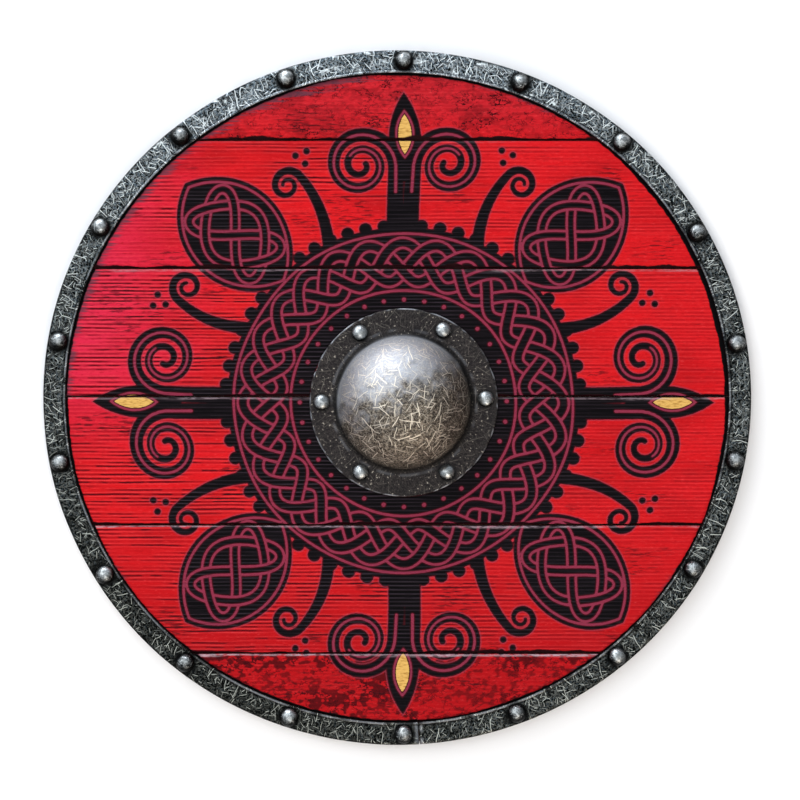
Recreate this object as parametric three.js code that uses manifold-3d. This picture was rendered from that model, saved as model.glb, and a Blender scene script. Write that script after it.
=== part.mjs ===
// A round plank shield with an iron rim band, a hollow iron boss and a wooden hand grip.
//
// Six boards lie edge to edge inside a channel of sheet iron, which is bent round their edge and meets
// itself at one butt joint. Dome-headed rivets go through the channel and the boards. The boss covers a
// round hand hole, and six rivets hold its flange to the boards. The grip crosses the hand hole, let into
// the back of the two middle boards, and the left and right boss rivets go through its ends.
//
// Millimetres. The shield lies on the back of its rim: +Z comes out of its face, +X runs along the boards
// and +Y across them. The origin is the middle of the outline, on the plane that the rim rests on.
import * as THREE from 'three';
import { mergeVertices } from 'three/addons/utils/BufferGeometryUtils.js';
import Module from 'manifold-3d';

const wasm = await Module();
wasm.setup();

// Outline: slightly wider than tall.
const SHIELD_WIDTH = 610;
const SHIELD_HEIGHT = 598;
const OUTLINE_STEPS = 60;

// Clearance between neighbours that touch in the real shield.
const GAP = 0.3;

// How far a cutting tool runs past the face it cuts.
const OVERSHOOT = 1;

// Boards.
const BOARD_THICKNESS = 11;
const BOARD_PITCH = 110.4;
const MIDDLE_JOINT_Y = 1;
const BOARD_NAMES = ['board_1_bottom', 'board_2', 'board_3', 'board_4', 'board_5', 'board_6_top'];
const JOINT_CHAMFER_WIDTH = 1.4;
const JOINT_CHAMFER_DEPTH = 2.2;

// Rim: a channel of sheet iron.
const SHEET = 1.5;
const RIM_FACE_WIDTH = 19.5;
const RIM_BACK_WIDTH = 14;
const RIM_SHOULDER = 2.4;
const RIM_FOOT_BEVEL = 1.2;
const RIM_LIP_WIDTH = 1.6;
const RIM_LIP_HEIGHT = 0.7;
const RIM_LIP_SLOPE = 0.4;
const RIM_DEPTH = 2 * SHEET + 2 * GAP + BOARD_THICKNESS;
const RIM_JOINT_ANGLE = THREE.MathUtils.degToRad(273.6);
const RIM_JOINT_GAP = 0.6;

// Levels that follow from the rim.
const BOARD_BACK_Z = SHEET + GAP;
const BOARD_FACE_Z = BOARD_BACK_Z + BOARD_THICKNESS;

// Boss: a dome with a flat flange, spun from one sheet.
const BOSS_X = 5.6;
const BOSS_Y = -4.2;
const BOSS_SHEET = 1.6;
const BOSS_RADIUS = 81;
const BOSS_EDGE_BEVEL = 0.5;
const DOME_BASE_RADIUS = 58;
const DOME_HEIGHT = 48;
const DOME_FILLET = 5;
const DOME_RINGS = 7;
const FILLET_RINGS = 3;
const BOSS_SIDES = 36;
const BOSS_BACK_Z = BOARD_FACE_Z + GAP;

// Hand hole and grip.
const HAND_HOLE_RADIUS = 53;
const HAND_HOLE_SIDES = 40;
const GRIP_HALF_LENGTH = 84;
const GRIP_HALF_WIDTH = 14;
const GRIP_LAP_DEPTH = 6;
const GRIP_WAIST_HALF_WIDTH = 12.5;
const GRIP_HAND_DEPTH = 15;
const GRIP_HAND_HALF_LENGTH = 47;
const GRIP_LAP_START = 51;

// Rivets.
const RIVET_SIDES = 12;
const HOLE_SIDES = 6;
const SHANK_RADIUS = 2.5;
const RIM_RIVET_COUNT = 18;
const RIM_RIVET_FIRST_ANGLE = THREE.MathUtils.degToRad(10);
const RIM_RIVET_INSET = 9.4;
const RIM_RIVET_HEAD_RADIUS = 8.2;
const RIM_RIVET_HEAD_HEIGHT = 6.3;
const COUNTERSINK_RADIUS = 4.2;
// How far each boss rivet strays from its sixth of the circle, in degrees: they were set out by eye.
const BOSS_RIVET_DRIFT = [2.4, 1.2, 2.2, 0, -1.6, 1.8];
const BOSS_RIVET_CIRCLE = 70.6;
const BOSS_RIVET_HEAD_RADIUS = 7;
const BOSS_RIVET_HEAD_HEIGHT = 4.6;
const TAIL_RADIUS = 4.4;
const TAIL_HEIGHT = 1.1;
const HEAD_RINGS = 3;

const FULL_TURN = 2 * Math.PI;

const MATERIALS = {
  painted_board: new THREE.MeshStandardMaterial({ color: 0xc8242e, roughness: 0.6, metalness: 0 }),
  rim_iron: new THREE.MeshStandardMaterial({ color: 0x4a4f4e, roughness: 0.5, metalness: 0.9 }),
  rivet_iron: new THREE.MeshStandardMaterial({ color: 0x6a6e6e, roughness: 0.4, metalness: 0.9 }),
  boss_iron: new THREE.MeshStandardMaterial({ color: 0x8b8782, roughness: 0.4, metalness: 0.9 }),
  grip_wood: new THREE.MeshStandardMaterial({ color: 0x6b4a2d, roughness: 0.7, metalness: 0 }),
};

// ---- Solids and geometry ----

// The geometry with its shared vertices merged and its collapsed triangles left out.
function welded(geometry) {
  const bare = geometry.clone();
  bare.deleteAttribute('normal');
  bare.deleteAttribute('uv');
  const merged = mergeVertices(bare, 1e-4);
  const source = merged.index.array;
  const kept = [];
  for (let i = 0; i < source.length; i += 3) {
    const [a, b, c] = [source[i], source[i + 1], source[i + 2]];
    if (a !== b && b !== c && c !== a) {
      kept.push(a, b, c);
    }
  }
  merged.setIndex(kept);
  return merged;
}

function toSolid(geometry) {
  const shape = welded(geometry);
  return new wasm.Manifold(new wasm.Mesh({
    numProp: 3,
    vertProperties: new Float32Array(shape.attributes.position.array),
    triVerts: new Uint32Array(shape.index.array),
  }));
}

function toGeometry(solid) {
  const mesh = solid.getMesh();
  const geometry = new THREE.BufferGeometry();
  geometry.setAttribute('position', new THREE.BufferAttribute(mesh.vertProperties, 3));
  geometry.setIndex(new THREE.BufferAttribute(mesh.triVerts, 1));
  geometry.computeVertexNormals();
  return geometry;
}

// What is left of a geometry once every tool is cut out of it.
function cut(geometry, tools) {
  return toGeometry(tools.reduce((left, tool) => left.subtract(toSolid(tool)), toSolid(geometry)));
}

// A turned piece: the profile is a list of [radius, height], from the axis below to the axis above.
function turned(profile, sides) {
  const points = profile.map(([radius, height]) => new THREE.Vector2(radius, height));
  return new THREE.LatheGeometry(points, sides).rotateX(Math.PI / 2);
}

// A closed body through loops with the same number of points. The loops run anticlockwise seen from
// the far end of the sweep.
function lofted(loops) {
  const count = loops[0].length;
  const positions = loops.flat().flatMap((p) => [p.x, p.y, p.z]);
  const index = [];
  for (let s = 0; s + 1 < loops.length; s += 1) {
    for (let i = 0; i < count; i += 1) {
      const next = (i + 1) % count;
      const [a, b] = [s * count + i, s * count + next];
      const [c, d] = [a + count, b + count];
      index.push(a, b, d, a, d, c);
    }
  }
  return { positions, index, count };
}

// Adds the two end faces to a lofted body. The flat outline is the loop in its own plane.
function capped({ positions, index, count }, flatOutline) {
  const last = positions.length / 3 - count;
  for (const [a, b, c] of THREE.ShapeUtils.triangulateShape(flatOutline, [])) {
    index.push(a, c, b);
    index.push(last + a, last + b, last + c);
  }
  const geometry = new THREE.BufferGeometry();
  geometry.setAttribute('position', new THREE.Float32BufferAttribute(positions, 3));
  geometry.setIndex(index);
  return geometry;
}

// ---- Outline ----

// A point of the outline, moved inwards by inset.
function outlinePoint(angle, inset) {
  return new THREE.Vector2(
    (SHIELD_WIDTH / 2 - inset) * Math.cos(angle),
    (SHIELD_HEIGHT / 2 - inset) * Math.sin(angle),
  );
}

// The angles of the outline's corners, once round from the first one after start.
function cornerAngles(start) {
  const step = FULL_TURN / OUTLINE_STEPS;
  const first = Math.ceil(start / step);
  return Array.from({ length: OUTLINE_STEPS }, (_, i) => (first + i) * step);
}

// ---- Rivets ----

// Where the ray at that angle from the boss's middle meets the rim rivets' line.
function rimRivetPlace(angle) {
  const [halfWidth, halfHeight] = [SHIELD_WIDTH / 2 - RIM_RIVET_INSET, SHIELD_HEIGHT / 2 - RIM_RIVET_INSET];
  const [fromX, fromY] = [BOSS_X / halfWidth, BOSS_Y / halfHeight];
  const [alongX, alongY] = [Math.cos(angle) / halfWidth, Math.sin(angle) / halfHeight];
  const a = alongX ** 2 + alongY ** 2;
  const b = fromX * alongX + fromY * alongY;
  const c = fromX ** 2 + fromY ** 2 - 1;
  const reach = (-b + Math.sqrt(b * b - a * c)) / a;
  return new THREE.Vector2(BOSS_X + reach * Math.cos(angle), BOSS_Y + reach * Math.sin(angle));
}

// The rim rivets' places, anticlockwise from the right: equal angles paced out from the boss's middle.
function rimRivetPlaces() {
  return Array.from({ length: RIM_RIVET_COUNT }, (_, i) => (
    rimRivetPlace(RIM_RIVET_FIRST_ANGLE + (i * FULL_TURN) / RIM_RIVET_COUNT)
  ));
}

// The boss rivets' places, anticlockwise from the right.
function bossRivetPlaces() {
  return BOSS_RIVET_DRIFT.map((drift, i) => {
    const angle = (i * FULL_TURN) / BOSS_RIVET_DRIFT.length + THREE.MathUtils.degToRad(drift);
    return new THREE.Vector2(
      BOSS_X + BOSS_RIVET_CIRCLE * Math.cos(angle),
      BOSS_Y + BOSS_RIVET_CIRCLE * Math.sin(angle),
    );
  });
}

// The profile of a domed head of that radius and height, from its edge to its top.
function headProfile(radius, height, seatZ) {
  const sphere = (radius * radius + height * height) / (2 * height);
  const edgeAngle = Math.acos((sphere - height) / sphere);
  return Array.from({ length: HEAD_RINGS + 1 }, (_, i) => {
    const angle = edgeAngle * (1 - i / HEAD_RINGS);
    return [sphere * Math.sin(angle), seatZ + height - sphere * (1 - Math.cos(angle))];
  });
}

// A rivet whose tail is hammered flush into a countersink in the rim's back.
function rimRivet() {
  const seatZ = RIM_DEPTH + GAP;
  const tailZ = 0.1;
  return turned([
    [0, tailZ],
    [COUNTERSINK_RADIUS - GAP, tailZ],
    [SHANK_RADIUS, SHEET],
    [SHANK_RADIUS, seatZ],
    ...headProfile(RIM_RIVET_HEAD_RADIUS, RIM_RIVET_HEAD_HEIGHT, seatZ),
  ], RIVET_SIDES);
}

// A rivet whose tail is spread over the boards' back.
function bossRivet() {
  const seatZ = BOSS_BACK_Z + BOSS_SHEET + GAP;
  const tailZ = BOARD_BACK_Z - GAP;
  return turned([
    [0, tailZ - TAIL_HEIGHT],
    [TAIL_RADIUS - TAIL_HEIGHT / 2, tailZ - TAIL_HEIGHT],
    [TAIL_RADIUS, tailZ],
    [SHANK_RADIUS, tailZ],
    [SHANK_RADIUS, seatZ],
    ...headProfile(BOSS_RIVET_HEAD_RADIUS, BOSS_RIVET_HEAD_HEIGHT, seatZ),
  ], RIVET_SIDES);
}

// A drill at a place. Its flats, not its corners, lie at the radii of the profile.
function drill(profile, place) {
  const grow = 1 / Math.cos(Math.PI / HOLE_SIDES);
  const corners = profile.map(([radius, height]) => [radius * grow, height]);
  return turned(corners, HOLE_SIDES).translate(place.x, place.y, 0);
}

// Drills a rim rivet's hole right through, with a countersink in the rim's back.
function rimRivetHole(place) {
  const radius = SHANK_RADIUS + GAP / 2;
  return drill([
    [0, -SHEET],
    [2 * COUNTERSINK_RADIUS - radius, -SHEET],
    [radius, SHEET],
    [radius, RIM_DEPTH + OVERSHOOT],
    [0, RIM_DEPTH + OVERSHOOT],
  ], place);
}

function bossRivetHole(place) {
  const radius = SHANK_RADIUS + GAP / 2;
  const top = BOSS_BACK_Z + BOSS_SHEET + OVERSHOOT;
  return drill([
    [0, 0],
    [radius, 0],
    [radius, top],
    [0, top],
  ], place);
}

// ---- Rim ----

// The channel's section as [inset from the outer edge, height], anticlockwise with the inset to the right.
function rimSection() {
  const inner = RIM_FACE_WIDTH;
  const faceUnder = BOARD_FACE_Z + GAP;
  const lipTop = RIM_DEPTH + RIM_LIP_HEIGHT;
  const bevel = RIM_SHOULDER * 0.3;
  return [
    [RIM_FOOT_BEVEL, 0],
    [RIM_BACK_WIDTH, 0],
    [RIM_BACK_WIDTH, SHEET],
    [SHEET, SHEET],
    [SHEET, faceUnder],
    [inner, faceUnder],
    [inner, lipTop - RIM_LIP_SLOPE],
    [inner - RIM_LIP_SLOPE, lipTop],
    [inner - RIM_LIP_WIDTH + RIM_LIP_SLOPE, lipTop],
    [inner - RIM_LIP_WIDTH, RIM_DEPTH],
    [RIM_SHOULDER, RIM_DEPTH],
    [bevel, RIM_DEPTH - bevel],
    [0, RIM_DEPTH - RIM_SHOULDER],
    [0, RIM_FOOT_BEVEL],
  ];
}

// The channel, swept once round the outline from one side of its joint to the other.
function rim() {
  const section = rimSection();
  const jointHalfAngle = RIM_JOINT_GAP / SHIELD_HEIGHT;
  const start = RIM_JOINT_ANGLE + jointHalfAngle;
  const end = RIM_JOINT_ANGLE - jointHalfAngle + FULL_TURN;
  const loops = [start, ...cornerAngles(start), end].map((angle) => (
    section.map(([inset, height]) => {
      const flat = outlinePoint(angle, inset);
      return new THREE.Vector3(flat.x, flat.y, height);
    })
  ));
  const flatSection = section.map(([inset, height]) => new THREE.Vector2(inset, height));
  return cut(capped(lofted(loops), flatSection), rimRivetPlaces().map(rimRivetHole));
}

// ---- Boss ----

// The outer or inner line of the dome and its fillet, from the flange up to the axis, for a skin that lies
// depth under the outer surface. Heights are above the flange's underside.
function domeLine(depth) {
  const flangeTop = BOSS_SHEET;
  const sphere = (DOME_BASE_RADIUS ** 2 + DOME_HEIGHT ** 2) / (2 * DOME_HEIGHT);
  const centreZ = flangeTop + DOME_HEIGHT - sphere;
  const filletZ = flangeTop + DOME_FILLET;
  const filletR = Math.sqrt((sphere + DOME_FILLET) ** 2 - (filletZ - centreZ) ** 2);
  const meetAngle = Math.atan2(filletR, filletZ - centreZ);
  const filletRadius = DOME_FILLET + depth;
  const fillet = Array.from({ length: FILLET_RINGS + 1 }, (_, i) => {
    const angle = (meetAngle * i) / FILLET_RINGS;
    return [filletR - filletRadius * Math.sin(angle), filletZ - filletRadius * Math.cos(angle)];
  });
  const dome = Array.from({ length: DOME_RINGS }, (_, i) => {
    const angle = meetAngle * (1 - (i + 1) / DOME_RINGS);
    return [(sphere - depth) * Math.sin(angle), centreZ + (sphere - depth) * Math.cos(angle)];
  });
  return [...fillet, ...dome];
}

function boss() {
  const profile = [
    ...domeLine(BOSS_SHEET).reverse(),
    [BOSS_RADIUS, 0],
    [BOSS_RADIUS, BOSS_SHEET - BOSS_EDGE_BEVEL],
    [BOSS_RADIUS - BOSS_EDGE_BEVEL, BOSS_SHEET],
    ...domeLine(0),
  ];
  const body = turned(profile, BOSS_SIDES).translate(BOSS_X, BOSS_Y, BOSS_BACK_Z);
  return cut(body, bossRivetPlaces().map(bossRivetHole));
}

// ---- Boards ----

// A solid slab of the boards' oval outline.
function boardOutlineSlab() {
  const points = cornerAngles(0).map((angle) => outlinePoint(angle, SHEET + GAP));
  const slab = new THREE.ExtrudeGeometry(new THREE.Shape(points), {
    depth: BOARD_THICKNESS,
    bevelEnabled: false,
  });
  return slab.translate(0, 0, BOARD_BACK_Z);
}

// A straight plank between two joints, with the face edge of each joint chamfered.
function plank(lowY, highY) {
  const section = new THREE.Shape([
    new THREE.Vector2(lowY, BOARD_BACK_Z - OVERSHOOT),
    new THREE.Vector2(highY, BOARD_BACK_Z - OVERSHOOT),
    new THREE.Vector2(highY, BOARD_FACE_Z - JOINT_CHAMFER_DEPTH),
    new THREE.Vector2(highY - JOINT_CHAMFER_WIDTH, BOARD_FACE_Z),
    new THREE.Vector2(highY - JOINT_CHAMFER_WIDTH, BOARD_FACE_Z + OVERSHOOT),
    new THREE.Vector2(lowY + JOINT_CHAMFER_WIDTH, BOARD_FACE_Z + OVERSHOOT),
    new THREE.Vector2(lowY + JOINT_CHAMFER_WIDTH, BOARD_FACE_Z),
    new THREE.Vector2(lowY, BOARD_FACE_Z - JOINT_CHAMFER_DEPTH),
  ]);
  const bar = new THREE.ExtrudeGeometry(section, { depth: SHIELD_WIDTH, bevelEnabled: false });
  // The section's own x and y become the shield's y and z.
  bar.applyMatrix4(new THREE.Matrix4().set(0, 0, 1, 0, 1, 0, 0, 0, 0, 1, 0, 0, 0, 0, 0, 1));
  return bar.translate(-SHIELD_WIDTH / 2, 0, 0);
}

// The lowest and highest Y of a board, with half the gap left at each joint.
function boardSpan(index) {
  const lowJoint = MIDDLE_JOINT_Y + (index - BOARD_NAMES.length / 2) * BOARD_PITCH;
  const isFirst = index === 0;
  const isLast = index === BOARD_NAMES.length - 1;
  return {
    low: isFirst ? -SHIELD_HEIGHT : lowJoint + GAP / 2,
    high: isLast ? SHIELD_HEIGHT : lowJoint + BOARD_PITCH - GAP / 2,
  };
}

function handHole() {
  const top = BOARD_FACE_Z + OVERSHOOT;
  return turned([
    [0, 0],
    [HAND_HOLE_RADIUS, 0],
    [HAND_HOLE_RADIUS, top],
    [0, top],
  ], HAND_HOLE_SIDES).translate(BOSS_X, BOSS_Y, 0);
}

// The housing in the boards' back that the grip's ends lie in.
function gripHousing() {
  const depth = GRIP_LAP_DEPTH + GAP + OVERSHOOT;
  const housing = new THREE.BoxGeometry(
    2 * (GRIP_HALF_LENGTH + GAP),
    2 * (GRIP_HALF_WIDTH + GAP),
    depth,
  );
  return housing.translate(BOSS_X, BOSS_Y, BOARD_BACK_Z - OVERSHOOT + depth / 2);
}

function board(index) {
  const { low, high } = boardSpan(index);
  const blank = toGeometry(toSolid(boardOutlineSlab()).intersect(toSolid(plank(low, high))));
  const reach = (place, radius) => place.y + radius > low && place.y - radius < high;
  const tools = [
    ...rimRivetPlaces().filter((p) => reach(p, COUNTERSINK_RADIUS)).map(rimRivetHole),
    ...bossRivetPlaces().filter((p) => reach(p, COUNTERSINK_RADIUS)).map(bossRivetHole),
  ];
  const centre = new THREE.Vector2(BOSS_X, BOSS_Y);
  if (reach(centre, HAND_HOLE_RADIUS)) {
    tools.push(handHole());
  }
  if (reach(centre, GRIP_HALF_WIDTH)) {
    tools.push(gripHousing());
  }
  return cut(blank, tools);
}

// ---- Grip ----

// One cross-section of the grip: a flat back and a rounded front, anticlockwise seen from +X.
function gripLoop(x, halfWidth, depth, rounding) {
  const [w, r] = [halfWidth, rounding];
  const outline = [
    [-w + 1, 0],
    [w - 1, 0],
    [w, 1],
    [w, depth - r],
    [w - 0.3 * r, depth - 0.3 * r],
    [w - r, depth],
    [-w + r, depth],
    [-w + 0.3 * r, depth - 0.3 * r],
    [-w, depth - r],
    [-w, 1],
  ];
  return outline.map(([y, z]) => new THREE.Vector3(x, y, z));
}

// The stations of the grip along its length: flat laps at the ends, a thick rounded hand part between.
function gripStations() {
  const lap = [GRIP_HALF_WIDTH, GRIP_LAP_DEPTH, 0.6];
  const neck = [GRIP_HALF_WIDTH, GRIP_LAP_DEPTH + 2, 2];
  const hand = [GRIP_WAIST_HALF_WIDTH, GRIP_HAND_DEPTH - 2, 6];
  const waist = [GRIP_WAIST_HALF_WIDTH, GRIP_HAND_DEPTH, 7];
  const right = [
    [0, ...waist],
    [GRIP_HAND_HALF_LENGTH * 0.6, ...hand],
    [GRIP_HAND_HALF_LENGTH, ...neck],
    [GRIP_LAP_START, ...lap],
    [GRIP_HALF_LENGTH, ...lap],
  ];
  const left = right.slice(1).reverse().map(([x, ...sizes]) => [-x, ...sizes]);
  return [...left, ...right];
}

function grip() {
  const loops = gripStations().map(([x, ...sizes]) => gripLoop(x, ...sizes));
  const flatEnd = loops[0].map((p) => new THREE.Vector2(p.y, p.z));
  const body = capped(lofted(loops), flatEnd).translate(BOSS_X, BOSS_Y, BOARD_BACK_Z);
  const sideRivets = bossRivetPlaces().filter((p) => Math.abs(p.y - BOSS_Y) < GRIP_HALF_WIDTH);
  return cut(body, sideRivets.map(bossRivetHole));
}

// ---- Assembly ----

const shield = new THREE.Group();

function add(name, geometry, material, place = new THREE.Vector2()) {
  const mesh = new THREE.Mesh(geometry, material);
  mesh.name = name;
  mesh.position.set(place.x, place.y, 0);
  shield.add(mesh);
}

const twoDigits = (number) => String(number).padStart(2, '0');

BOARD_NAMES.forEach((name, index) => add(name, board(index), MATERIALS.painted_board));
add('rim_band', rim(), MATERIALS.rim_iron);
add('boss', boss(), MATERIALS.boss_iron);
add('grip', grip(), MATERIALS.grip_wood);
rimRivetPlaces().forEach((place, i) => {
  add(`rim_rivet_${twoDigits(i + 1)}`, rimRivet(), MATERIALS.rivet_iron, place);
});
bossRivetPlaces().forEach((place, i) => {
  add(`boss_rivet_${i + 1}`, bossRivet(), MATERIALS.rivet_iron, place);
});

export default shield;
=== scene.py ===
"""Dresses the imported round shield: six brushed and painted boards, an iron rim band, a hollow iron boss,
twenty-four rivets and a wooden grip. Sizes are in millimetres until a mesh is made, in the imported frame."""

from __future__ import annotations

import logging
import math
from collections.abc import Mapping, Sequence
from dataclasses import dataclass, field
from enum import Enum
from typing import Any

import bmesh
import bpy
import numpy as np
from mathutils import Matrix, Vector


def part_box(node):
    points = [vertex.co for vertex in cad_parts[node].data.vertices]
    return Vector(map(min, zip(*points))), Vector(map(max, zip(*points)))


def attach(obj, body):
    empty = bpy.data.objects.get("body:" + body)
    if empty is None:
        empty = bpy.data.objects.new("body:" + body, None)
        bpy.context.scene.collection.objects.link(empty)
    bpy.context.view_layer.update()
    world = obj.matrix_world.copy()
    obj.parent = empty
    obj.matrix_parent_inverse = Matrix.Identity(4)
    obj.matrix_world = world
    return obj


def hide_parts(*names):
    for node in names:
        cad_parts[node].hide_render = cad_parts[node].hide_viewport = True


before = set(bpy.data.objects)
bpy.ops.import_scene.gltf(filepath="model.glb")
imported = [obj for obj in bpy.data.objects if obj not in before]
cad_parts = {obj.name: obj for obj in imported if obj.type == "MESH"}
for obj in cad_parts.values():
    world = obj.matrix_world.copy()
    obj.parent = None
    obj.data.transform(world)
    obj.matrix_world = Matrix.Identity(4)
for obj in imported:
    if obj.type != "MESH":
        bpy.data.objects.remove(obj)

Array = np.ndarray
Socket = bpy.types.NodeSocket
TAU = 2.0 * math.pi
METRES = 0.001
FAR = 1000.0
TINY = 1e-6
BOARDS = ("board_1_bottom", "board_2", "board_3", "board_4", "board_5", "board_6_top")
RIM_RIVETS = tuple(f"rim_rivet_{k:02d}" for k in range(1, 19))
BOSS_RIVETS = tuple(f"boss_rivet_{k}" for k in range(1, 7))
LOG = logging.getLogger("shield")


# ---------------------------------------------------------------- numbers and noise


def smooth(low: float, high: float, value: Array) -> Array:
    """Ease from 0 where the value is low to 1 where it is high. Low may lie above high."""
    share = np.clip((value - low) / (high - low), 0.0, 1.0)
    return share * share * (3.0 - 2.0 * share)


class PlaneNoise:
    """Seeded soft noise over a plane, from 0 to 1."""

    size = 256

    def __init__(self, seed: int) -> None:
        """Fill the noise's table from a seed."""
        self.table = np.random.default_rng(seed).random((self.size, self.size))

    def at(self, x: Array, y: Array, cell_x: float, cell_y: float) -> Array:
        """Read the noise.

        Args:
            x: First coordinate.
            y: Second coordinate.
            cell_x: Size of the noise's cells along x.
            cell_y: Size of the noise's cells along y.

        Returns:
            The noise at each point.
        """
        u, v = x / cell_x + 91.7, y / cell_y + 57.3
        column, row = np.floor(u).astype(int), np.floor(v).astype(int)
        s, t = smooth(0.0, 1.0, u - column), smooth(0.0, 1.0, v - row)
        i, j = column % self.size, row % self.size
        right, up = (column + 1) % self.size, (row + 1) % self.size
        below = self.table[i, j] * (1 - s) + self.table[right, j] * s
        above = self.table[i, up] * (1 - s) + self.table[right, up] * s
        return below * (1 - t) + above * t


# ---------------------------------------------------------------- measured shapes


@dataclass(frozen=True)
class Joint:
    """Where two boards meet: its height, the width of its dark line of painted shade, and how worn its lower
    lip is, which is also painted pale as a highlight.
    """

    y: float
    shadow: float
    wear_and_highlight: float


@dataclass(frozen=True)
class Outline:
    """The shield's oval and the levels that its parts share, in mm."""

    width: float = 610.0
    height: float = 598.0
    rim_face: float = 19.5
    board_back: float = 1.8
    board_face: float = 12.8
    boss_x: float = 5.6
    boss_y: float = -4.2
    hand_hole: float = 53.0

    def point(self, angle: Array, inset: Array) -> tuple[Array, Array]:
        """Give the points at those angles of the oval, moved in from the outer edge by inset."""
        return (self.width / 2 - inset) * np.cos(angle), (self.height / 2 - inset) * np.sin(angle)

    def inset(self, x: Array, y: Array) -> Array:
        """Give how far each point lies inside the outer edge."""
        share = np.hypot(x / (self.width / 2), y / (self.height / 2))
        return (1.0 - share) * np.hypot(x, y) / np.maximum(share, TINY)


SHIELD = Outline()
JOINTS = (
    Joint(-219.8, 1.9, 1.0),
    Joint(-109.4, 1.7, 0.6),
    Joint(1.0, 1.8, 0.55),
    Joint(111.4, 2.6, 0.4),
    Joint(221.8, 3.2, 0.1),
)


def centre_of(node_name: str) -> tuple[float, float]:
    """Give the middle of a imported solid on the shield's face, in mm."""
    low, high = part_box(node_name)
    return (low[0] + high[0]) / 2 / METRES, (low[1] + high[1]) / 2 / METRES


# ---------------------------------------------------------------- the painted pattern


def to_line(points: Array, line: Array, start_width: float, end_width: float) -> Array:
    """Measure a brush stroke whose width changes evenly from its start to its end.

    Args:
        points: Points, as rows of x and y.
        line: The stroke's middle, as rows of x and y.
        start_width: Width where the stroke starts.
        end_width: Width where it ends.

    Returns:
        The distance of each point to the stroke's edge, negative inside.
    """
    steps = np.concatenate([[0.0], np.cumsum(np.hypot(*(line[1:] - line[:-1]).T))])
    share = steps / steps[-1]
    best = np.full(len(points), np.inf)
    for k, (a, b) in enumerate(zip(line[:-1], line[1:])):
        along = b - a
        t = np.clip(((points - a) @ along) / max(float(along @ along), TINY**2), 0.0, 1.0)
        off = points - a - t[:, None] * along
        at = share[k] + (share[k + 1] - share[k]) * t
        half = (start_width + (end_width - start_width) * at) / 2
        np.minimum(best, np.hypot(off[:, 0], off[:, 1]) - half, out=best)
    return best


def to_leaf(u: Array, v: Array, half_length: float, half_width: float) -> Array:
    """Give each point's distance to the edge of a pointed leaf that lies along u, negative inside."""
    radius = (half_length**2 + half_width**2) / (2 * half_width)
    return np.hypot(u, np.abs(v) + radius - half_width) - radius


def curl(
    start: Sequence[float],
    bend: Sequence[float],
    centre: Sequence[float],
    radius: float,
    core: float,
    turns: float,
    side: float,
) -> Array:
    """Draw a stem that runs into a spiral.

    Args:
        start: Where the stem starts.
        bend: The point that the stem bends towards.
        centre: The spiral's centre.
        radius: The spiral's radius where the stem meets it.
        core: Its radius at its inner end.
        turns: How many turns it makes.
        side: 1 for a spiral that turns clockwise, -1 for the other way.

    Returns:
        The middle line, as rows of x and y.
    """
    t = np.linspace(0.0, 1.0, int(34 * turns))
    r = radius + (core - radius) * t**0.9
    a = side * (math.pi / 2 - TAU * turns * t)
    spiral = np.stack([centre[0] + r * np.cos(a), centre[1] + r * np.sin(a)], 1)
    s = np.linspace(0.0, 1.0, 14)[:-1, None]
    stem = (1 - s) ** 2 * np.array(start) + 2 * s * (1 - s) * np.array(bend) + s**2 * spiral[0]
    return np.concatenate([stem, spiral])


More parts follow.
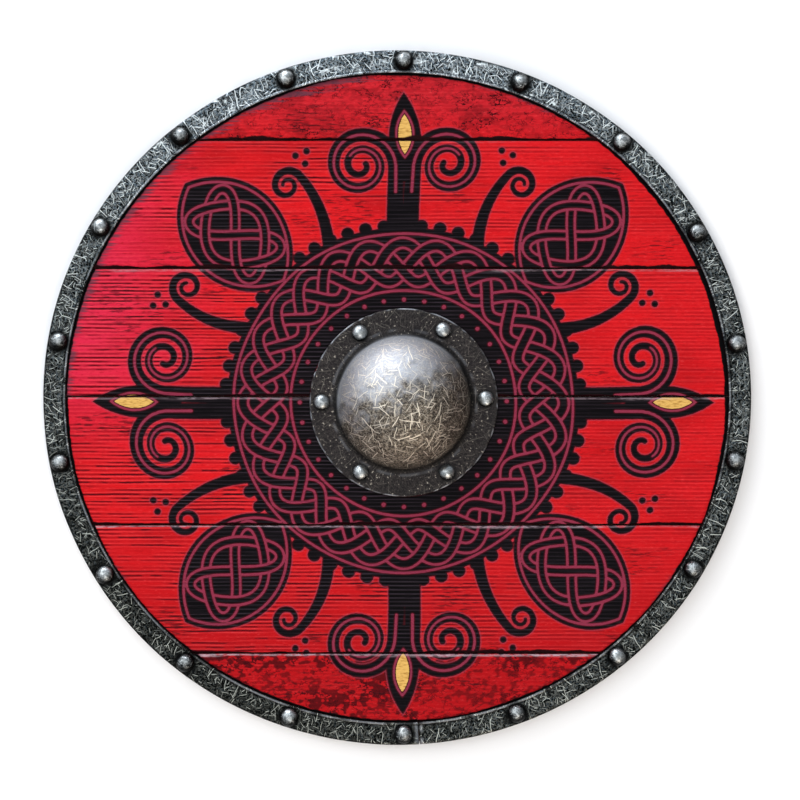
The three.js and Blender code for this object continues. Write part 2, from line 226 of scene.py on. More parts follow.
@dataclass(frozen=True)
class Strap:
    """A flat strap that weaves over and under itself along a closed line."""

    line: Array
    width: float

    def crossings(self) -> list[tuple[float, float]]:
        """Find every place where the line crosses itself.

        Returns:
            The two places along the line of each crossing, counted in its steps.
        """
        start, step = self.line, np.roll(self.line, -1, axis=0) - self.line
        found: list[tuple[float, float]] = []
        for i in range(len(start)):
            gap, other, mine = start[i + 2 :] - start[i], step[i + 2 :], step[i]
            cross = mine[0] * other[:, 1] - mine[1] * other[:, 0]
            cross = np.where(np.abs(cross) < TINY**2, np.inf, cross)
            t = (gap[:, 0] * other[:, 1] - gap[:, 1] * other[:, 0]) / cross
            s = (gap[:, 0] * mine[1] - gap[:, 1] * mine[0]) / cross
            for k in np.nonzero((t > 0) & (t < 1) & (s > 0) & (s < 1))[0]:
                found.append((i + float(t[k]), i + 2 + int(k) + float(s[k])))
        return found

    def passes(self) -> list[tuple[Array, Array]]:
        """Cut the line halfway between its crossings.

        Returns:
            For each crossing, the piece of line that goes over and the one that goes under it.
        """
        count = len(self.line)
        places = sorted((place, pair) for pair, both in enumerate(self.crossings()) for place in both)
        pieces: dict[int, dict[bool, Array]] = {}
        for k, (place, pair) in enumerate(places):
            before = places[k - 1][0] - (count if k == 0 else 0)
            after = places[(k + 1) % len(places)][0] + (count if k + 1 == len(places) else 0)
            samples = max(6, int((after - before) / 2) + 2)
            at = np.linspace((before + place) / 2, (place + after) / 2, samples)
            base = np.floor(at).astype(int)
            share = (at - base)[:, None]
            piece = self.line[base % count] * (1 - share) + self.line[(base + 1) % count] * share
            pieces.setdefault(pair, {})[k % 2 == 0] = piece
        return [(both[True], both[False]) for both in pieces.values()]

    def outlines(self, points: Array, thickness: float) -> Array:
        """Measure the thin lines along the strap's edges, hidden where it goes under itself.

        Args:
            points: Points, as rows of x and y.
            thickness: How thick the lines are.

        Returns:
            The distance of each point to the lines' edges, negative on a line.
        """
        nearest, across = np.full(len(points), FAR), np.full(len(points), FAR)
        reach = self.width + 3 * thickness
        for over, under in self.passes():
            low = np.minimum(over.min(0), under.min(0)) - reach
            high = np.maximum(over.max(0), under.max(0)) + reach
            near = np.nonzero(((points > low) & (points < high)).all(1))[0]
            to_over = to_line(points[near], over, 0.0, 0.0)
            to_under = to_line(points[near], under, 0.0, 0.0)
            nearest[near] = np.minimum(nearest[near], np.minimum(to_over, to_under))
            edge = np.maximum(np.abs(to_over - self.width / 2) - thickness / 2, to_under - self.width / 2)
            across[near] = np.minimum(across[near], edge)
        return np.minimum(np.abs(nearest - self.width / 2) - thickness / 2, across)


@dataclass
class PaintedPattern:
    """A plaited belt round the boss, four knotted leaves, four pairs of volutes and eight tendrils.

    Everything is measured in mm from the boss's middle. Black paint is what is covered less what is spared,
    which shows as thin red lines.
    """

    line: float = 2.1
    collar_inner: float = 80.0
    collar_line: float = 97.0
    collar_dots: int = 32
    collar_dots_radius: float = 89.3
    collar_dot: float = 1.8
    plait_radius: float = 121.3
    plait_swing: float = 16.4
    plait_turns: int = 3
    plait_bights: int = 28
    plait_strap: float = 8.8
    belt_line: float = 145.5
    belt_outer: float = 151.0
    bead_count: int = 60
    bead: float = 5.6
    leaf_middle: float = 205.0
    leaf_half_length: float = 62.0
    leaf_half_width: float = 43.0
    leaf_border: float = 4.4
    knot_length: float = 38.0
    knot_width: float = 26.5
    knot_strap: float = 7.0
    petal_middle: float = 226.0
    petal_start: float = 190.0
    gold_middle: float = 232.0
    trefoils: tuple[tuple[float, float], ...] = ((222.0, 0.0), (231.5, -5.2), (231.5, 5.2))
    trefoil_dot: float = 2.9
    hand_wobble: float = 0.7
    covered: Array = field(init=False)
    spared: Array = field(init=False)

    def _cover(self, distance: Array, near: Array | slice = slice(None)) -> None:
        """Add black paint inside a shape."""
        self.covered[near] = np.minimum(self.covered[near], distance)

    def _spare(self, distance: Array, near: Array | slice = slice(None)) -> None:
        """Leave a shape red."""
        self.spared[near] = np.minimum(self.spared[near], distance)

    @staticmethod
    def _repeat(angle: Array, count: int) -> Array:
        """Fold an angle into one of count equal parts, measured from that part's middle."""
        step = TAU / count
        return (angle + step / 2) % step - step / 2

    def _belt(self, r: Array, a: Array) -> None:
        """Paint the dotted collar and the plaited belt with its beaded edge.

        Args:
            r: The points' distances from the boss's middle.
            a: Their angles.
        """
        self._cover(np.maximum(r - self.belt_outer, self.collar_inner - r))
        fold = self._repeat(a, self.bead_count)
        self._cover(np.hypot(r * np.cos(fold) - self.belt_outer - 1.5, r * np.sin(fold)) - self.bead)
        self._spare(np.abs(r - self.collar_line) - self.line / 2)
        self._spare(np.abs(r - self.belt_line) - self.line / 2)
        fold = self._repeat(a, self.collar_dots)
        self._spare(np.hypot(r * np.cos(fold) - self.collar_dots_radius, r * np.sin(fold)) - self.collar_dot)
        t = np.linspace(0.0, self.plait_turns * TAU, 1400, endpoint=False)
        ring = self.plait_radius + self.plait_swing * np.cos(self.plait_bights * t / self.plait_turns)
        strap = Strap(np.stack([ring * np.cos(t), ring * np.sin(t)], 1), self.plait_strap)
        near = np.nonzero((r > self.collar_line) & (r < self.belt_line + 2))[0]
        at = np.stack([r[near] * np.cos(a[near]), r[near] * np.sin(a[near])], 1)
        self._spare(strap.outlines(at, self.line), near)

    def _leaves(self, u: Array, v: Array) -> None:
        """Paint a bordered leaf that holds a knot, and the tendrils on its two sides.

        Args:
            u: The points' places outwards along the leaf.
            v: The points' places across it.
        """
        leaf = to_leaf(u - self.leaf_middle, v, self.leaf_half_length, self.leaf_half_width)
        self._cover(leaf)
        near = np.nonzero((leaf < 2) & (np.hypot(u, v) > self.belt_line))[0]
        self._spare(np.abs(leaf[near] + self.leaf_border) - self.line / 2, near)
        t = np.linspace(0.0, TAU, 420, endpoint=False)
        along = self.knot_length * np.sin(2 * t)
        across = self.knot_width * (1 - (along / 75) ** 2) * np.cos(3 * t)
        near = np.nonzero(leaf < -5)[0]
        at = np.stack([u[near] - self.leaf_middle, v[near]], 1)
        knot = Strap(np.stack([along, across], 1), self.knot_strap)
        self._spare(knot.outlines(at, self.line), near)
        near = np.nonzero((u > 130) & (u < 232) & (np.abs(v) > 40) & (np.abs(v) < 90))[0]
        tendril = curl(
            start=(140.0, 50.0),
            bend=(168.0, 74.0),
            centre=(203.0, 61.0),
            radius=13.5,
            core=3.5,
            turns=1.35,
            side=1.0,
        )
        self._cover(to_line(np.stack([u, np.abs(v)], 1)[near], tendril, 11.0, 3.2), near)

    def _volutes(self, u: Array, v: Array) -> None:
        """Paint a pair of volutes, with a line inside each, and the pointed petal between them.

        Args:
            u: The points' places outwards along the petal.
            v: The points' places across it.
        """
        near = np.nonzero((u > 140) & (u < 250) & (np.abs(v) < 78))[0]
        at = np.stack([u, np.abs(v)], 1)[near]
        volute = curl(
            start=(146.0, 6.0),
            bend=(175.0, 6.5),
            centre=(205.0, 37.5),
            radius=30.0,
            core=4.5,
            turns=2.05,
            side=-1.0,
        )
        self._cover(to_line(at, volute, 15.5, 5.0), near)
        vein = volute[8:-22]
        self._spare(to_line(at, vein, 2.4, 1.8), near)
        self._cover(np.maximum(to_leaf(u - self.petal_middle, v, 42, 14), self.petal_start - u))

    def _hand_drawn(self, x: Array, y: Array) -> tuple[Array, Array]:
        """Shift points a little, so that the lines waver as a hand's do.

        Args:
            x: The points' x from the boss's middle.
            y: The points' y.

        Returns:
            The shifted points.
        """
        return (
            x + self.hand_wobble * np.sin(y / 21 + 0.6) + 0.5 * np.sin(x / 34 + y / 55),
            y + self.hand_wobble * np.sin(x / 26 + 1.9) + 0.5 * np.sin(y / 30 - x / 47),
        )

    def distances(self, x: Array, y: Array) -> tuple[Array, Array, Array]:
        """Measure the pattern at points of the shield.

        Args:
            x: The points' x in the shield's frame.
            y: The points' y.

        Returns:
            The distances to the edges of what is covered, spared and gilded, negative inside.
        """
        x, y = self._hand_drawn(x - SHIELD.boss_x, y - SHIELD.boss_y)
        r, a = np.hypot(x, y), np.arctan2(y, x)
        self.covered, self.spared = np.full(len(x), FAR), np.full(len(x), FAR)
        self._belt(r, a)
        diagonal = self._repeat(a - TAU / 8, 4)
        self._leaves(r * np.cos(diagonal), r * np.sin(diagonal))
        axis = self._repeat(a, 4)
        u, v = r * np.cos(axis), r * np.sin(axis)
        self._volutes(u, v)
        gold = to_leaf(u - self.gold_middle, v, 17, 5.6)
        self._spare(np.abs(gold - 1.8) - 0.9)
        fold = self._repeat(a - TAU / 16, 8)
        for radius, side in self.trefoils:
            dot = np.hypot(r * np.cos(fold) - radius, r * np.sin(fold) - side) - self.trefoil_dot
            self._cover(dot)
        return self.covered, self.spared, gold


# ---------------------------------------------------------------- materials


def linear(colour: str) -> tuple[float, float, float, float]:
    """Turn an sRGB hex colour into the linear numbers that a shader takes.

    Args:
        colour: The colour, such as "#C8151B".

    Returns:
        Its linear red, green and blue, and 1 for full cover.
    """
    parts = [int(colour.lstrip("#")[k : k + 2], 16) / 255 for k in (0, 2, 4)]
    flat = [c / 12.92 if c <= 0.04045 else ((c + 0.055) / 1.055) ** 2.4 for c in parts]
    return flat[0], flat[1], flat[2], 1.0


def node(
    tree: bpy.types.NodeTree,
    kind: str,
    inputs: Mapping[str | int, Any] | None = None,
    **settings: Any,
) -> Any:
    """Add a node with its settings and links.

    Args:
        tree: The node tree that it goes into.
        kind: The node's type name.
        inputs: Its sockets, by name or number, each with a number, a colour or the socket to link from.
        settings: The node's own settings.

    Returns:
        The new node.
    """
    made = tree.nodes.new(kind)
    for name, value in settings.items():
        setattr(made, name, value)
    for key, value in (inputs or {}).items():
        if isinstance(value, Socket):
            tree.links.new(value, made.inputs[key])
        else:
            made.inputs[key].default_value = value
    return made


class Step(Enum):
    """A step in working out a finish, which is one node.

    EASE takes a number smoothly from one value to another, between two limits that may stand either way
    round. BLEND lays its second colour over its first. NOISE runs from 0 to 1 over coordinates counted
    in cells. CARRIED is a number that the mesh carries at its points.
    """

    ADD = ("ShaderNodeMath", {"operation": "ADD"}, (0, 1), 0)
    SUBTRACT = ("ShaderNodeMath", {"operation": "SUBTRACT"}, (0, 1), 0)
    MULTIPLY = ("ShaderNodeMath", {"operation": "MULTIPLY"}, (0, 1), 0)
    MULTIPLY_ADD = ("ShaderNodeMath", {"operation": "MULTIPLY_ADD"}, (0, 1, 2), 0)
    MAXIMUM = ("ShaderNodeMath", {"operation": "MAXIMUM"}, (0, 1), 0)
    MINIMUM = ("ShaderNodeMath", {"operation": "MINIMUM"}, (0, 1), 0)
    ABSOLUTE = ("ShaderNodeMath", {"operation": "ABSOLUTE"}, (0,), 0)
    ROUND = ("ShaderNodeMath", {"operation": "ROUND"}, (0,), 0)
    EASE = (
        "ShaderNodeMapRange",
        {"interpolation_type": "SMOOTHSTEP"},
        ("Value", "From Min", "From Max", "To Min", "To Max"),
        0,
    )
    BLEND = ("ShaderNodeMix", {"data_type": "RGBA"}, (0, 6, 7), 2)
    NOISE = ("ShaderNodeTexNoise", {}, ("Vector", "Detail", "Roughness"), "Fac", {"Scale": 1.0})
    CARRIED = ("ShaderNodeAttribute", {}, (), "Fac")

    def __init__(
        self,
        kind: str,
        settings: Mapping[str, str],
        sockets: tuple[str | int, ...],
        output: str | int,
        fixed: Mapping[str, float] | None = None,
    ) -> None:
        """Keep the node's type and settings, its sockets in order, its output and what holds one number."""
        self.kind, self.settings, self.sockets = kind, settings, sockets
        self.output, self.fixed = output, fixed or {}


@dataclass(frozen=True)
class ScratchNet:
    """A random net of scratches: its cells' size and its lines' width in mm, the share of cells in use,
    and the lines' middle direction and its range in radians."""

    cell: float
    width: float
    share: float = 1.0
    turn: float = 0.0
    turn_range: float = TAU


@dataclass
class Shade:
    """A material under way, with the few steps that the finishes share.

    Colours are hex strings or sockets, and numbers are plain ones or sockets.
    """

    name: str
    tree: bpy.types.NodeTree = field(init=False)
    material: bpy.types.Material = field(init=False)

    def __post_init__(self) -> None:
        """Start an empty node material."""
        self.material = bpy.data.materials.new(self.name)
        self.material.use_nodes = True
        self.tree = self.material.node_tree
        self.tree.nodes.clear()

    def place(self, scale: Sequence[float], source: Socket | None = None) -> Socket:
        """Give coordinates stretched so that one noise cell has that size.

        Args:
            scale: Cell size along x, y and z in mm.
            source: Coordinates in mm. Left out, they are the object's own, in metres.

        Returns:
            The coordinates.
        """
        unit = 1.0 if source else 1.0 / METRES
        source = source or node(self.tree, "ShaderNodeTexCoord").outputs["Object"]
        inputs = {"Vector": source, "Scale": [unit / size for size in scale]}
        return node(self.tree, "ShaderNodeMapping", inputs).outputs[0]

    def add(self, step: Step, *inputs: Any, **settings: Any) -> Socket:
        """Add a step to the material.

        Args:
            step: The step.
            inputs: What goes into its sockets, in order: numbers, hex colours or other steps' results.
            settings: The node's settings that the step leaves open.

        Returns:
            The step's result.
        """
        values = [linear(value) if isinstance(value, str) else value for value in inputs]
        sockets = {**dict(zip(step.sockets, values)), **step.fixed}
        return node(self.tree, step.kind, sockets, **step.settings, **settings).outputs[step.output]

    def scratches(self, where: Socket, net: ScratchNet, shift: float) -> Socket:
        """Give at most one straight scratch in each cell of a random net, each at its own angle.

        Args:
            where: Coordinates in mm.
            net: The net's sizes.
            shift: A number that makes this net differ from the others.

        Returns:
            The scratches' depth, from 0 to 1.
        """
        inputs = {"Vector": where, "Location": (shift * 37, shift * 91, 0)}
        moved = node(self.tree, "ShaderNodeMapping", inputs).outputs[0]
        inputs = {"Vector": moved, "Scale": 1.0 / net.cell}
        cells = node(self.tree, "ShaderNodeTexVoronoi", inputs, voronoi_dimensions="2D")
        inputs = {0: moved, 1: cells.outputs["Position"]}
        local = node(self.tree, "ShaderNodeVectorMath", inputs, operation="SUBTRACT").outputs[0]
        chance = node(self.tree, "ShaderNodeSeparateColor", {0: cells.outputs["Color"]}).outputs
        angle = self.add(Step.MULTIPLY_ADD, chance[0], net.turn_range, net.turn - net.turn_range / 2)
        inputs = {"Vector": local, "Angle": angle}
        turned = node(self.tree, "ShaderNodeVectorRotate", inputs, rotation_type="Z_AXIS").outputs[0]
        off = node(self.tree, "ShaderNodeSeparateXYZ", {0: turned}).outputs["Y"]
        line = self.add(Step.EASE, self.add(Step.ABSOLUTE, off), net.width * 0.7, net.width * 0.25)
        strength = self.add(Step.EASE, chance[1], 1.0 - net.share, 1.0 - net.share * 0.3)
        return self.add(Step.MULTIPLY, line, strength)

    def finish(self, **sockets: Any) -> bpy.types.Material:
        """Link the surface.

        Args:
            sockets: The shader's inputs by name, with _ for a space. height is a bump height in mm.

        Returns:
            The finished material.
        """
        height = sockets.pop("height", None)
        shader = node(self.tree, "ShaderNodeBsdfPrincipled")
        for name, value in sockets.items():
            socket = shader.inputs[name.replace("_", " ")]
            if isinstance(value, Socket):
                self.tree.links.new(value, socket)
            else:
                socket.default_value = value
        if height is not None:
            bump = node(self.tree, "ShaderNodeBump", {"Height": height, "Distance": METRES, "Strength": 1.0})
            self.tree.links.new(bump.outputs[0], shader.inputs["Normal"])
        node(self.tree, "ShaderNodeOutputMaterial", {"Surface": shader.outputs[0]})
        return self.material


@dataclass(frozen=True)
class OilPaintOnPine:
    """Red oil paint brushed onto wire-brushed pine, with a black and gold pattern over it.

    Real paint of this kind is matt to satin: it keeps the grooves' relief. The grooves are painted dark
    in broken lines, partly dirt and partly painted shade, and the ridges between them paler as a painted
    highlight. The paint wears to grey wood next to the rim, where a painted shadow also falls from the band.
    The grooves are real ones, about 3.6 mm apart.
    Noise cells are sizes in mm along the boards, across them and through them.
    """

    red: str = "#C8151B"
    deep_red: str = "#9A0A10"
    # rose_sheen: a painted cool sheen laid on the red towards the upper left
    rose_sheen: str = "#CC2442"
    pale_red: str = "#EC4E50"
    groove_red: str = "#780C17"
    groove_dark: str = "#2A030A"
    spot_red: str = "#3C050A"
    dusty_red: str = "#8A3646"
    line_rose: str = "#7C2C42"
    scuff: str = "#1C0A10"
    black: str = "#060406"
    maroon: str = "#420A12"
    worn_black: str = "#3A3038"
    gold: str = "#D2A75B"
    dark_gold: str = "#9A6E30"
    # worn_wood_and_shadow: paint worn to grey wood and darkened by painted shadow along the band
    worn_wood_and_shadow: str = "#5A3644"
    # grime_and_shade: dirt and painted shade, in the black's grooves and in the gap along the band
    grime_and_shade: str = "#060506"
    seam: str = "#1C0408"
    arris: str = "#AE98A0"
    satin: tuple[float, float] = (0.5, 0.7)
    gloss: float = 0.04

    def _red(self, s: Shade, broad: Socket, streak: Socket) -> Socket:
        """Give the red paint: rosier at the upper left as a painted cool sheen, dustier at the top, and
        deeper below as painted shade.

        Args:
            s: The material under way.
            broad: Broad soft noise.
            streak: Noise drawn out along the boards.

        Returns:
            The paint's colour.
        """
        place = node(s.tree, "ShaderNodeSeparateXYZ", {0: s.place((1, 1, 1))}).outputs
        colour = s.add(Step.BLEND, s.add(Step.EASE, broad, 0.42, 0.72, 0.0, 0.6), self.red, self.deep_red)
        # painted cool sheen: the red turns rosier towards the upper left
        sheen_to_left = s.add(Step.EASE, s.add(Step.MULTIPLY_ADD, broad, 120.0, place["X"]), -70.0, -215.0)
        sheen_to_left = s.add(Step.MULTIPLY, sheen_to_left, s.add(Step.EASE, place["Y"], -70.0, 50.0))
        colour = s.add(Step.BLEND, sheen_to_left, colour, self.rose_sheen)
        colour = s.add(
            Step.BLEND, s.add(Step.EASE, place["Y"], 205.0, 262.0, 0.0, 0.2), colour, self.dusty_red
        )
        # painted shade: the red deepens towards the bottom, away from the light
        shade_to_foot = s.add(
            Step.EASE, s.add(Step.MULTIPLY_ADD, broad, 90.0, place["Y"]), -20.0, -200.0, 0.0, 0.7
        )
        colour = s.add(Step.BLEND, shade_to_foot, colour, self.deep_red)
        colour = s.add(Step.BLEND, s.add(Step.EASE, streak, 0.52, 0.85, 0.0, 0.6), colour, self.deep_red)
        colour = s.add(Step.BLEND, s.add(Step.EASE, streak, 0.45, 0.15, 0.0, 0.2), colour, self.pale_red)
        brushed = s.add(Step.NOISE, s.place((4.5, 1.6, 4)), 3.0, 0.7)
        colour = s.add(Step.BLEND, s.add(Step.EASE, brushed, 0.5, 0.75, 0.0, 0.6), colour, self.deep_red)
        return s.add(Step.BLEND, s.add(Step.EASE, brushed, 0.45, 0.2, 0.0, 0.35), colour, self.pale_red)

    def _grooves(self, s: Shade, fine: Socket) -> tuple[Socket, Socket, Socket]:
        """Find the brushed grooves, whose count the mesh carries as whole numbers on each groove.

        Args:
            s: The material under way.
            fine: Fine noise that makes their edges ragged.

        Returns:
            How much of each point is groove, the groove's dark middle, and the ridge between two grooves,
            which is painted paler as a highlight.
        """
        comb = s.add(Step.CARRIED, attribute_name="comb")
        off = s.add(Step.ABSOLUTE, s.add(Step.SUBTRACT, comb, s.add(Step.ROUND, comb)))
        near = s.add(Step.ADD, off, s.add(Step.MULTIPLY_ADD, fine, 0.24, -0.12))
        strength = s.add(Step.CARRIED, attribute_name="groove")
        groove = s.add(Step.MULTIPLY, s.add(Step.EASE, near, 0.36, 0.12), strength)
        middle = s.add(
            Step.MULTIPLY, s.add(Step.EASE, near, 0.22, 0.04), s.add(Step.EASE, strength, 0.35, 0.95)
        )
        # painted highlight: the ridge between two grooves
        ridge_highlight = s.add(Step.MULTIPLY, s.add(Step.EASE, off, 0.3, 0.44), strength)
        return groove, middle, ridge_highlight

    def _scuffed(self, s: Shade, colour: Socket, middle: Socket) -> Socket:
        """Darken crackled and mottled places, and smudges that follow the grooves.

        Args:
            s: The material under way.
            colour: The paint so far.
            middle: The grooves' dark middles.

        Returns:
            The scuffed paint.
        """
        crackle = s.add(Step.NOISE, s.place((6.5, 4.2, 6)), 3.0, 0.65)
        crackle = s.add(Step.EASE, s.add(Step.ABSOLUTE, s.add(Step.SUBTRACT, crackle, 0.5)), 0.042, 0.018)
        broken = s.add(Step.EASE, s.add(Step.NOISE, s.place((16, 9, 12)), 3.0, 0.6), 0.42, 0.58, 0.1, 1.0)
        stipple, mottle = (s.add(Step.CARRIED, attribute_name=name) for name in ("stipple", "mottle"))
        cracked = s.add(Step.MULTIPLY, crackle, s.add(Step.MULTIPLY, stipple, broken))
        colour = s.add(Step.BLEND, cracked, colour, self.groove_dark)
        colour = s.add(Step.BLEND, s.add(Step.MULTIPLY, mottle, 0.86), colour, self.spot_red)
        patch = s.add(Step.EASE, s.add(Step.NOISE, s.place((55, 24, 40)), 1.0), 0.52, 0.68)
        spot = s.add(Step.EASE, s.add(Step.NOISE, s.place((13, 2.0, 6)), 3.0, 0.65), 0.5, 0.62)
        smudge = s.add(Step.MAXIMUM, s.add(Step.MULTIPLY, spot, 0.7), middle)
        return s.add(Step.BLEND, s.add(Step.MULTIPLY, patch, smudge), colour, self.scuff)

    def _black(self, s: Shade, streak: Socket, groove: Socket, ridge_highlight: Socket) -> Socket:
        """Give the black paint: paler on the ridges as a painted highlight, and darkened in the grooves by
        grime and painted shade.

        Args:
            s: The material under way.
            streak: Noise drawn out along the boards.
            groove: How much of each point is groove.
            ridge_highlight: How much of it is ridge, painted as a highlight.

        Returns:
            The black paint's colour.
        """
        black = s.add(
            Step.BLEND, s.add(Step.EASE, streak, 0.4, 0.75, 0.0, 0.16), self.black, self.worn_black
        )
        # painted highlight on the ridges of the black
        black = s.add(Step.BLEND, s.add(Step.MULTIPLY, ridge_highlight, 0.75), black, self.worn_black)
        return s.add(Step.BLEND, s.add(Step.MULTIPLY, groove, 0.85), black, self.grime_and_shade)

    def _patterned(self, s: Shade, colour: Socket, black: Socket, fine: Socket) -> Socket:
        """Lay the pattern over the red, with a dusty halo, rosy spared lines and gilded petals.

        Args:
            s: The material under way.
            colour: The red paint.
            black: The black paint.
            fine: Fine noise that makes the brush's edge ragged.

        Returns:
            The paint with its pattern.
        """
        ragged = s.add(Step.MULTIPLY_ADD, fine, 0.9, -0.45)
        carried = ("covered", "spared", "gold")
        covered, spared, gold = (s.add(Step.CARRIED, attribute_name=name) for name in carried)
        covered = s.add(Step.ADD, covered, ragged)
        spared = s.add(Step.ADD, spared, s.add(Step.MULTIPLY, ragged, 0.7))
        halo = s.add(Step.MULTIPLY, s.add(Step.EASE, covered, 1.5, 0.5), 0.5)
        colour = s.add(Step.BLEND, halo, colour, self.dusty_red)
        colour = s.add(Step.BLEND, s.add(Step.EASE, covered, -0.2, -0.9, 0.0, 0.85), colour, self.line_rose)
        depth = s.add(Step.MINIMUM, s.add(Step.MULTIPLY, covered, -1.0), spared)
        black = s.add(Step.BLEND, s.add(Step.EASE, depth, 1.3, 0.3, 0.0, 0.75), black, self.maroon)
        colour = s.add(Step.BLEND, s.add(Step.EASE, depth, -0.25, 0.25), colour, black)
        gilded = s.add(Step.EASE, s.add(Step.ADD, gold, ragged), 0.25, -0.25)
        leaf = s.add(Step.BLEND, s.add(Step.EASE, fine, 0.45, 0.75), self.gold, self.dark_gold)
        return s.add(Step.BLEND, gilded, colour, leaf)

    def _seam(self, s: Shade, fine: Socket) -> Socket:
        """Find the joints' dark lines of painted shade: the lower edge of one board and the corner of the
        next.

        Args:
            s: The material under way.
            fine: Fine noise that makes them ragged.

        Returns:
            How dark the joint is at each point.
        """
        ragged = s.add(Step.MULTIPLY_ADD, fine, 0.5, -0.25)
        wavy = s.add(Step.MULTIPLY_ADD, s.add(Step.NOISE, s.place((17, 60, 60)), 3.0, 0.6), 2.2, -1.1)
        foot, head = (s.add(Step.CARRIED, attribute_name=name) for name in ("foot", "head"))
        upper = s.add(Step.EASE, s.add(Step.ADD, s.add(Step.ADD, foot, ragged), wavy), 1.1, 0.7)
        lower = s.add(Step.EASE, s.add(Step.ADD, head, ragged), 0.75, 0.35)
        return s.add(Step.MAXIMUM, upper, lower)

    def _arris(self, s: Shade, streak: Socket) -> Socket:
        """Find where the boards' upper corners are rubbed pale, partly wear and partly a painted highlight.

        Args:
            s: The material under way.
            streak: Noise drawn out along the boards.

        Returns:
            How pale each point is.
        """
        head, arris = (s.add(Step.CARRIED, attribute_name=name) for name in ("head", "arris"))
        reach = s.add(Step.MULTIPLY_ADD, streak, 3.2, 0.5)
        inner = s.add(Step.EASE, s.add(Step.SUBTRACT, head, reach), 0.7, -0.7)
        band = s.add(Step.MULTIPLY, s.add(Step.EASE, head, 0.5, 0.9), inner)
        broken = s.add(Step.EASE, s.add(Step.NOISE, s.place((6, 1.4, 4)), 2.0, 0.6), 0.36, 0.56, 0.2, 0.9)
        return s.add(Step.MULTIPLY, band, s.add(Step.MULTIPLY, arris, broken))

    def _edged(self, s: Shade, colour: Socket, streak: Socket, fine: Socket) -> Socket:
        """Wear the paint at the boards' corners and next to the band, where a painted shadow darkens it too,
        and darken the joints with painted shade.

        Args:
            s: The material under way.
            colour: The paint so far.
            streak: Noise drawn out along the boards.
            fine: Fine noise.

        Returns:
            The whole face's colour.
        """
        # painted highlight and wear: the boards' upper corners turn pale
        colour = s.add(Step.BLEND, self._arris(s, streak), colour, self.arris)
        rim = s.add(Step.CARRIED, attribute_name="rim")
        # worn paint and painted shadow along the band, widest at the upper left
        fray = s.add(Step.CARRIED, attribute_name="fray")
        fray = s.add(Step.MULTIPLY, fray, s.add(Step.EASE, streak, 0.35, 0.65, 0.25, 1.0))
        frayed = s.add(Step.EASE, s.add(Step.SUBTRACT, rim, fray), 0.5, -5.0, 0.0, 0.8)
        colour = s.add(Step.BLEND, frayed, colour, self.worn_wood_and_shadow)
        # the dark gap along the band: grime and painted shadow under its lip
        edge = s.add(Step.SUBTRACT, rim, s.add(Step.CARRIED, attribute_name="gap"))
        edge = s.add(Step.MULTIPLY_ADD, s.add(Step.NOISE, s.place((7, 5, 5)), 3.0), -2.4, edge)
        colour = s.add(Step.BLEND, s.add(Step.EASE, edge, -0.1, -1.1), colour, self.grime_and_shade)
        # painted shade in the joints
        return s.add(Step.BLEND, self._seam(s, fine), colour, self.seam)

    def material(self) -> bpy.types.Material:
        """Build the paint.

        Returns:
            The material.
        """
        s = Shade("satin_oil_paint_on_brushed_pine")
        broad = s.add(Step.NOISE, s.place((75, 34, 40)), 3.0)
        streak = s.add(Step.NOISE, s.place((42, 1.7, 5)), 3.0, 0.6)
        fine = s.add(Step.NOISE, s.place((5, 1.1, 2)), 2.0)
        groove, middle, ridge_highlight = self._grooves(s, fine)
        # painted highlight on the ridges; below, the grooves are darkened, partly dirt and partly painted
        # shade
        colour = s.add(
            Step.BLEND, s.add(Step.MULTIPLY, ridge_highlight, 0.4), self._red(s, broad, streak), self.pale_red
        )
        colour = s.add(Step.BLEND, s.add(Step.MULTIPLY, groove, 0.9), colour, self.groove_red)
        colour = s.add(Step.BLEND, s.add(Step.MULTIPLY, middle, 0.8), colour, self.groove_dark)
        colour = self._scuffed(s, colour, middle)
        colour = self._patterned(s, colour, self._black(s, streak, groove, ridge_highlight), fine)
        colour = self._edged(s, colour, streak, fine)
        rough = s.add(Step.EASE, groove, 0.0, 1.0, *self.satin)
        height = s.add(Step.ADD, s.add(Step.MULTIPLY, fine, 0.08), s.add(Step.MULTIPLY, streak, 0.12))
        height = s.add(Step.MULTIPLY_ADD, groove, -0.22, height)
        return s.finish(Base_Color=colour, Roughness=rough, height=height, Specular_IOR_Level=self.gloss)


@dataclass(frozen=True)
class OiledPine:
    """Planed pine under a thin dark oil stain: long soft grain, near-black in the pores.

    The rings show about 7 mm apart and the pores about 1 mm apart, drawn out along the board.
    """

    name: str = "oil_stained_pine"
    pale: str = "#7A5232"
    dark: str = "#43291A"
    pore: str = "#22150E"
    roughness: float = 0.6

    def material(self) -> bpy.types.Material:
        """Build the stained wood, whose grain starts elsewhere on each plank.

        Returns:
            The material.
        """
        s = Shade(self.name)
        plank = s.add(Step.CARRIED, attribute_name="plank")
        start = node(s.tree, "ShaderNodeCombineXYZ", {0: plank, 1: plank}).outputs[0]
        inputs = {0: s.place((170, 7, 7)), 1: start}
        rings = node(s.tree, "ShaderNodeVectorMath", inputs, operation="ADD").outputs[0]
        rings = s.add(Step.NOISE, rings, 3.0, 0.55)
        pores = s.add(Step.NOISE, s.place((24, 0.9, 0.9)), 2.0, 0.6)
        colour = s.add(Step.BLEND, s.add(Step.EASE, rings, 0.35, 0.65), self.pale, self.dark)
        colour = s.add(Step.BLEND, s.add(Step.EASE, pores, 0.58, 0.75, 0.0, 0.7), colour, self.pore)
        height = s.add(Step.MULTIPLY, pores, -0.18)
        return s.finish(Base_Color=colour, Roughness=self.roughness, height=height)


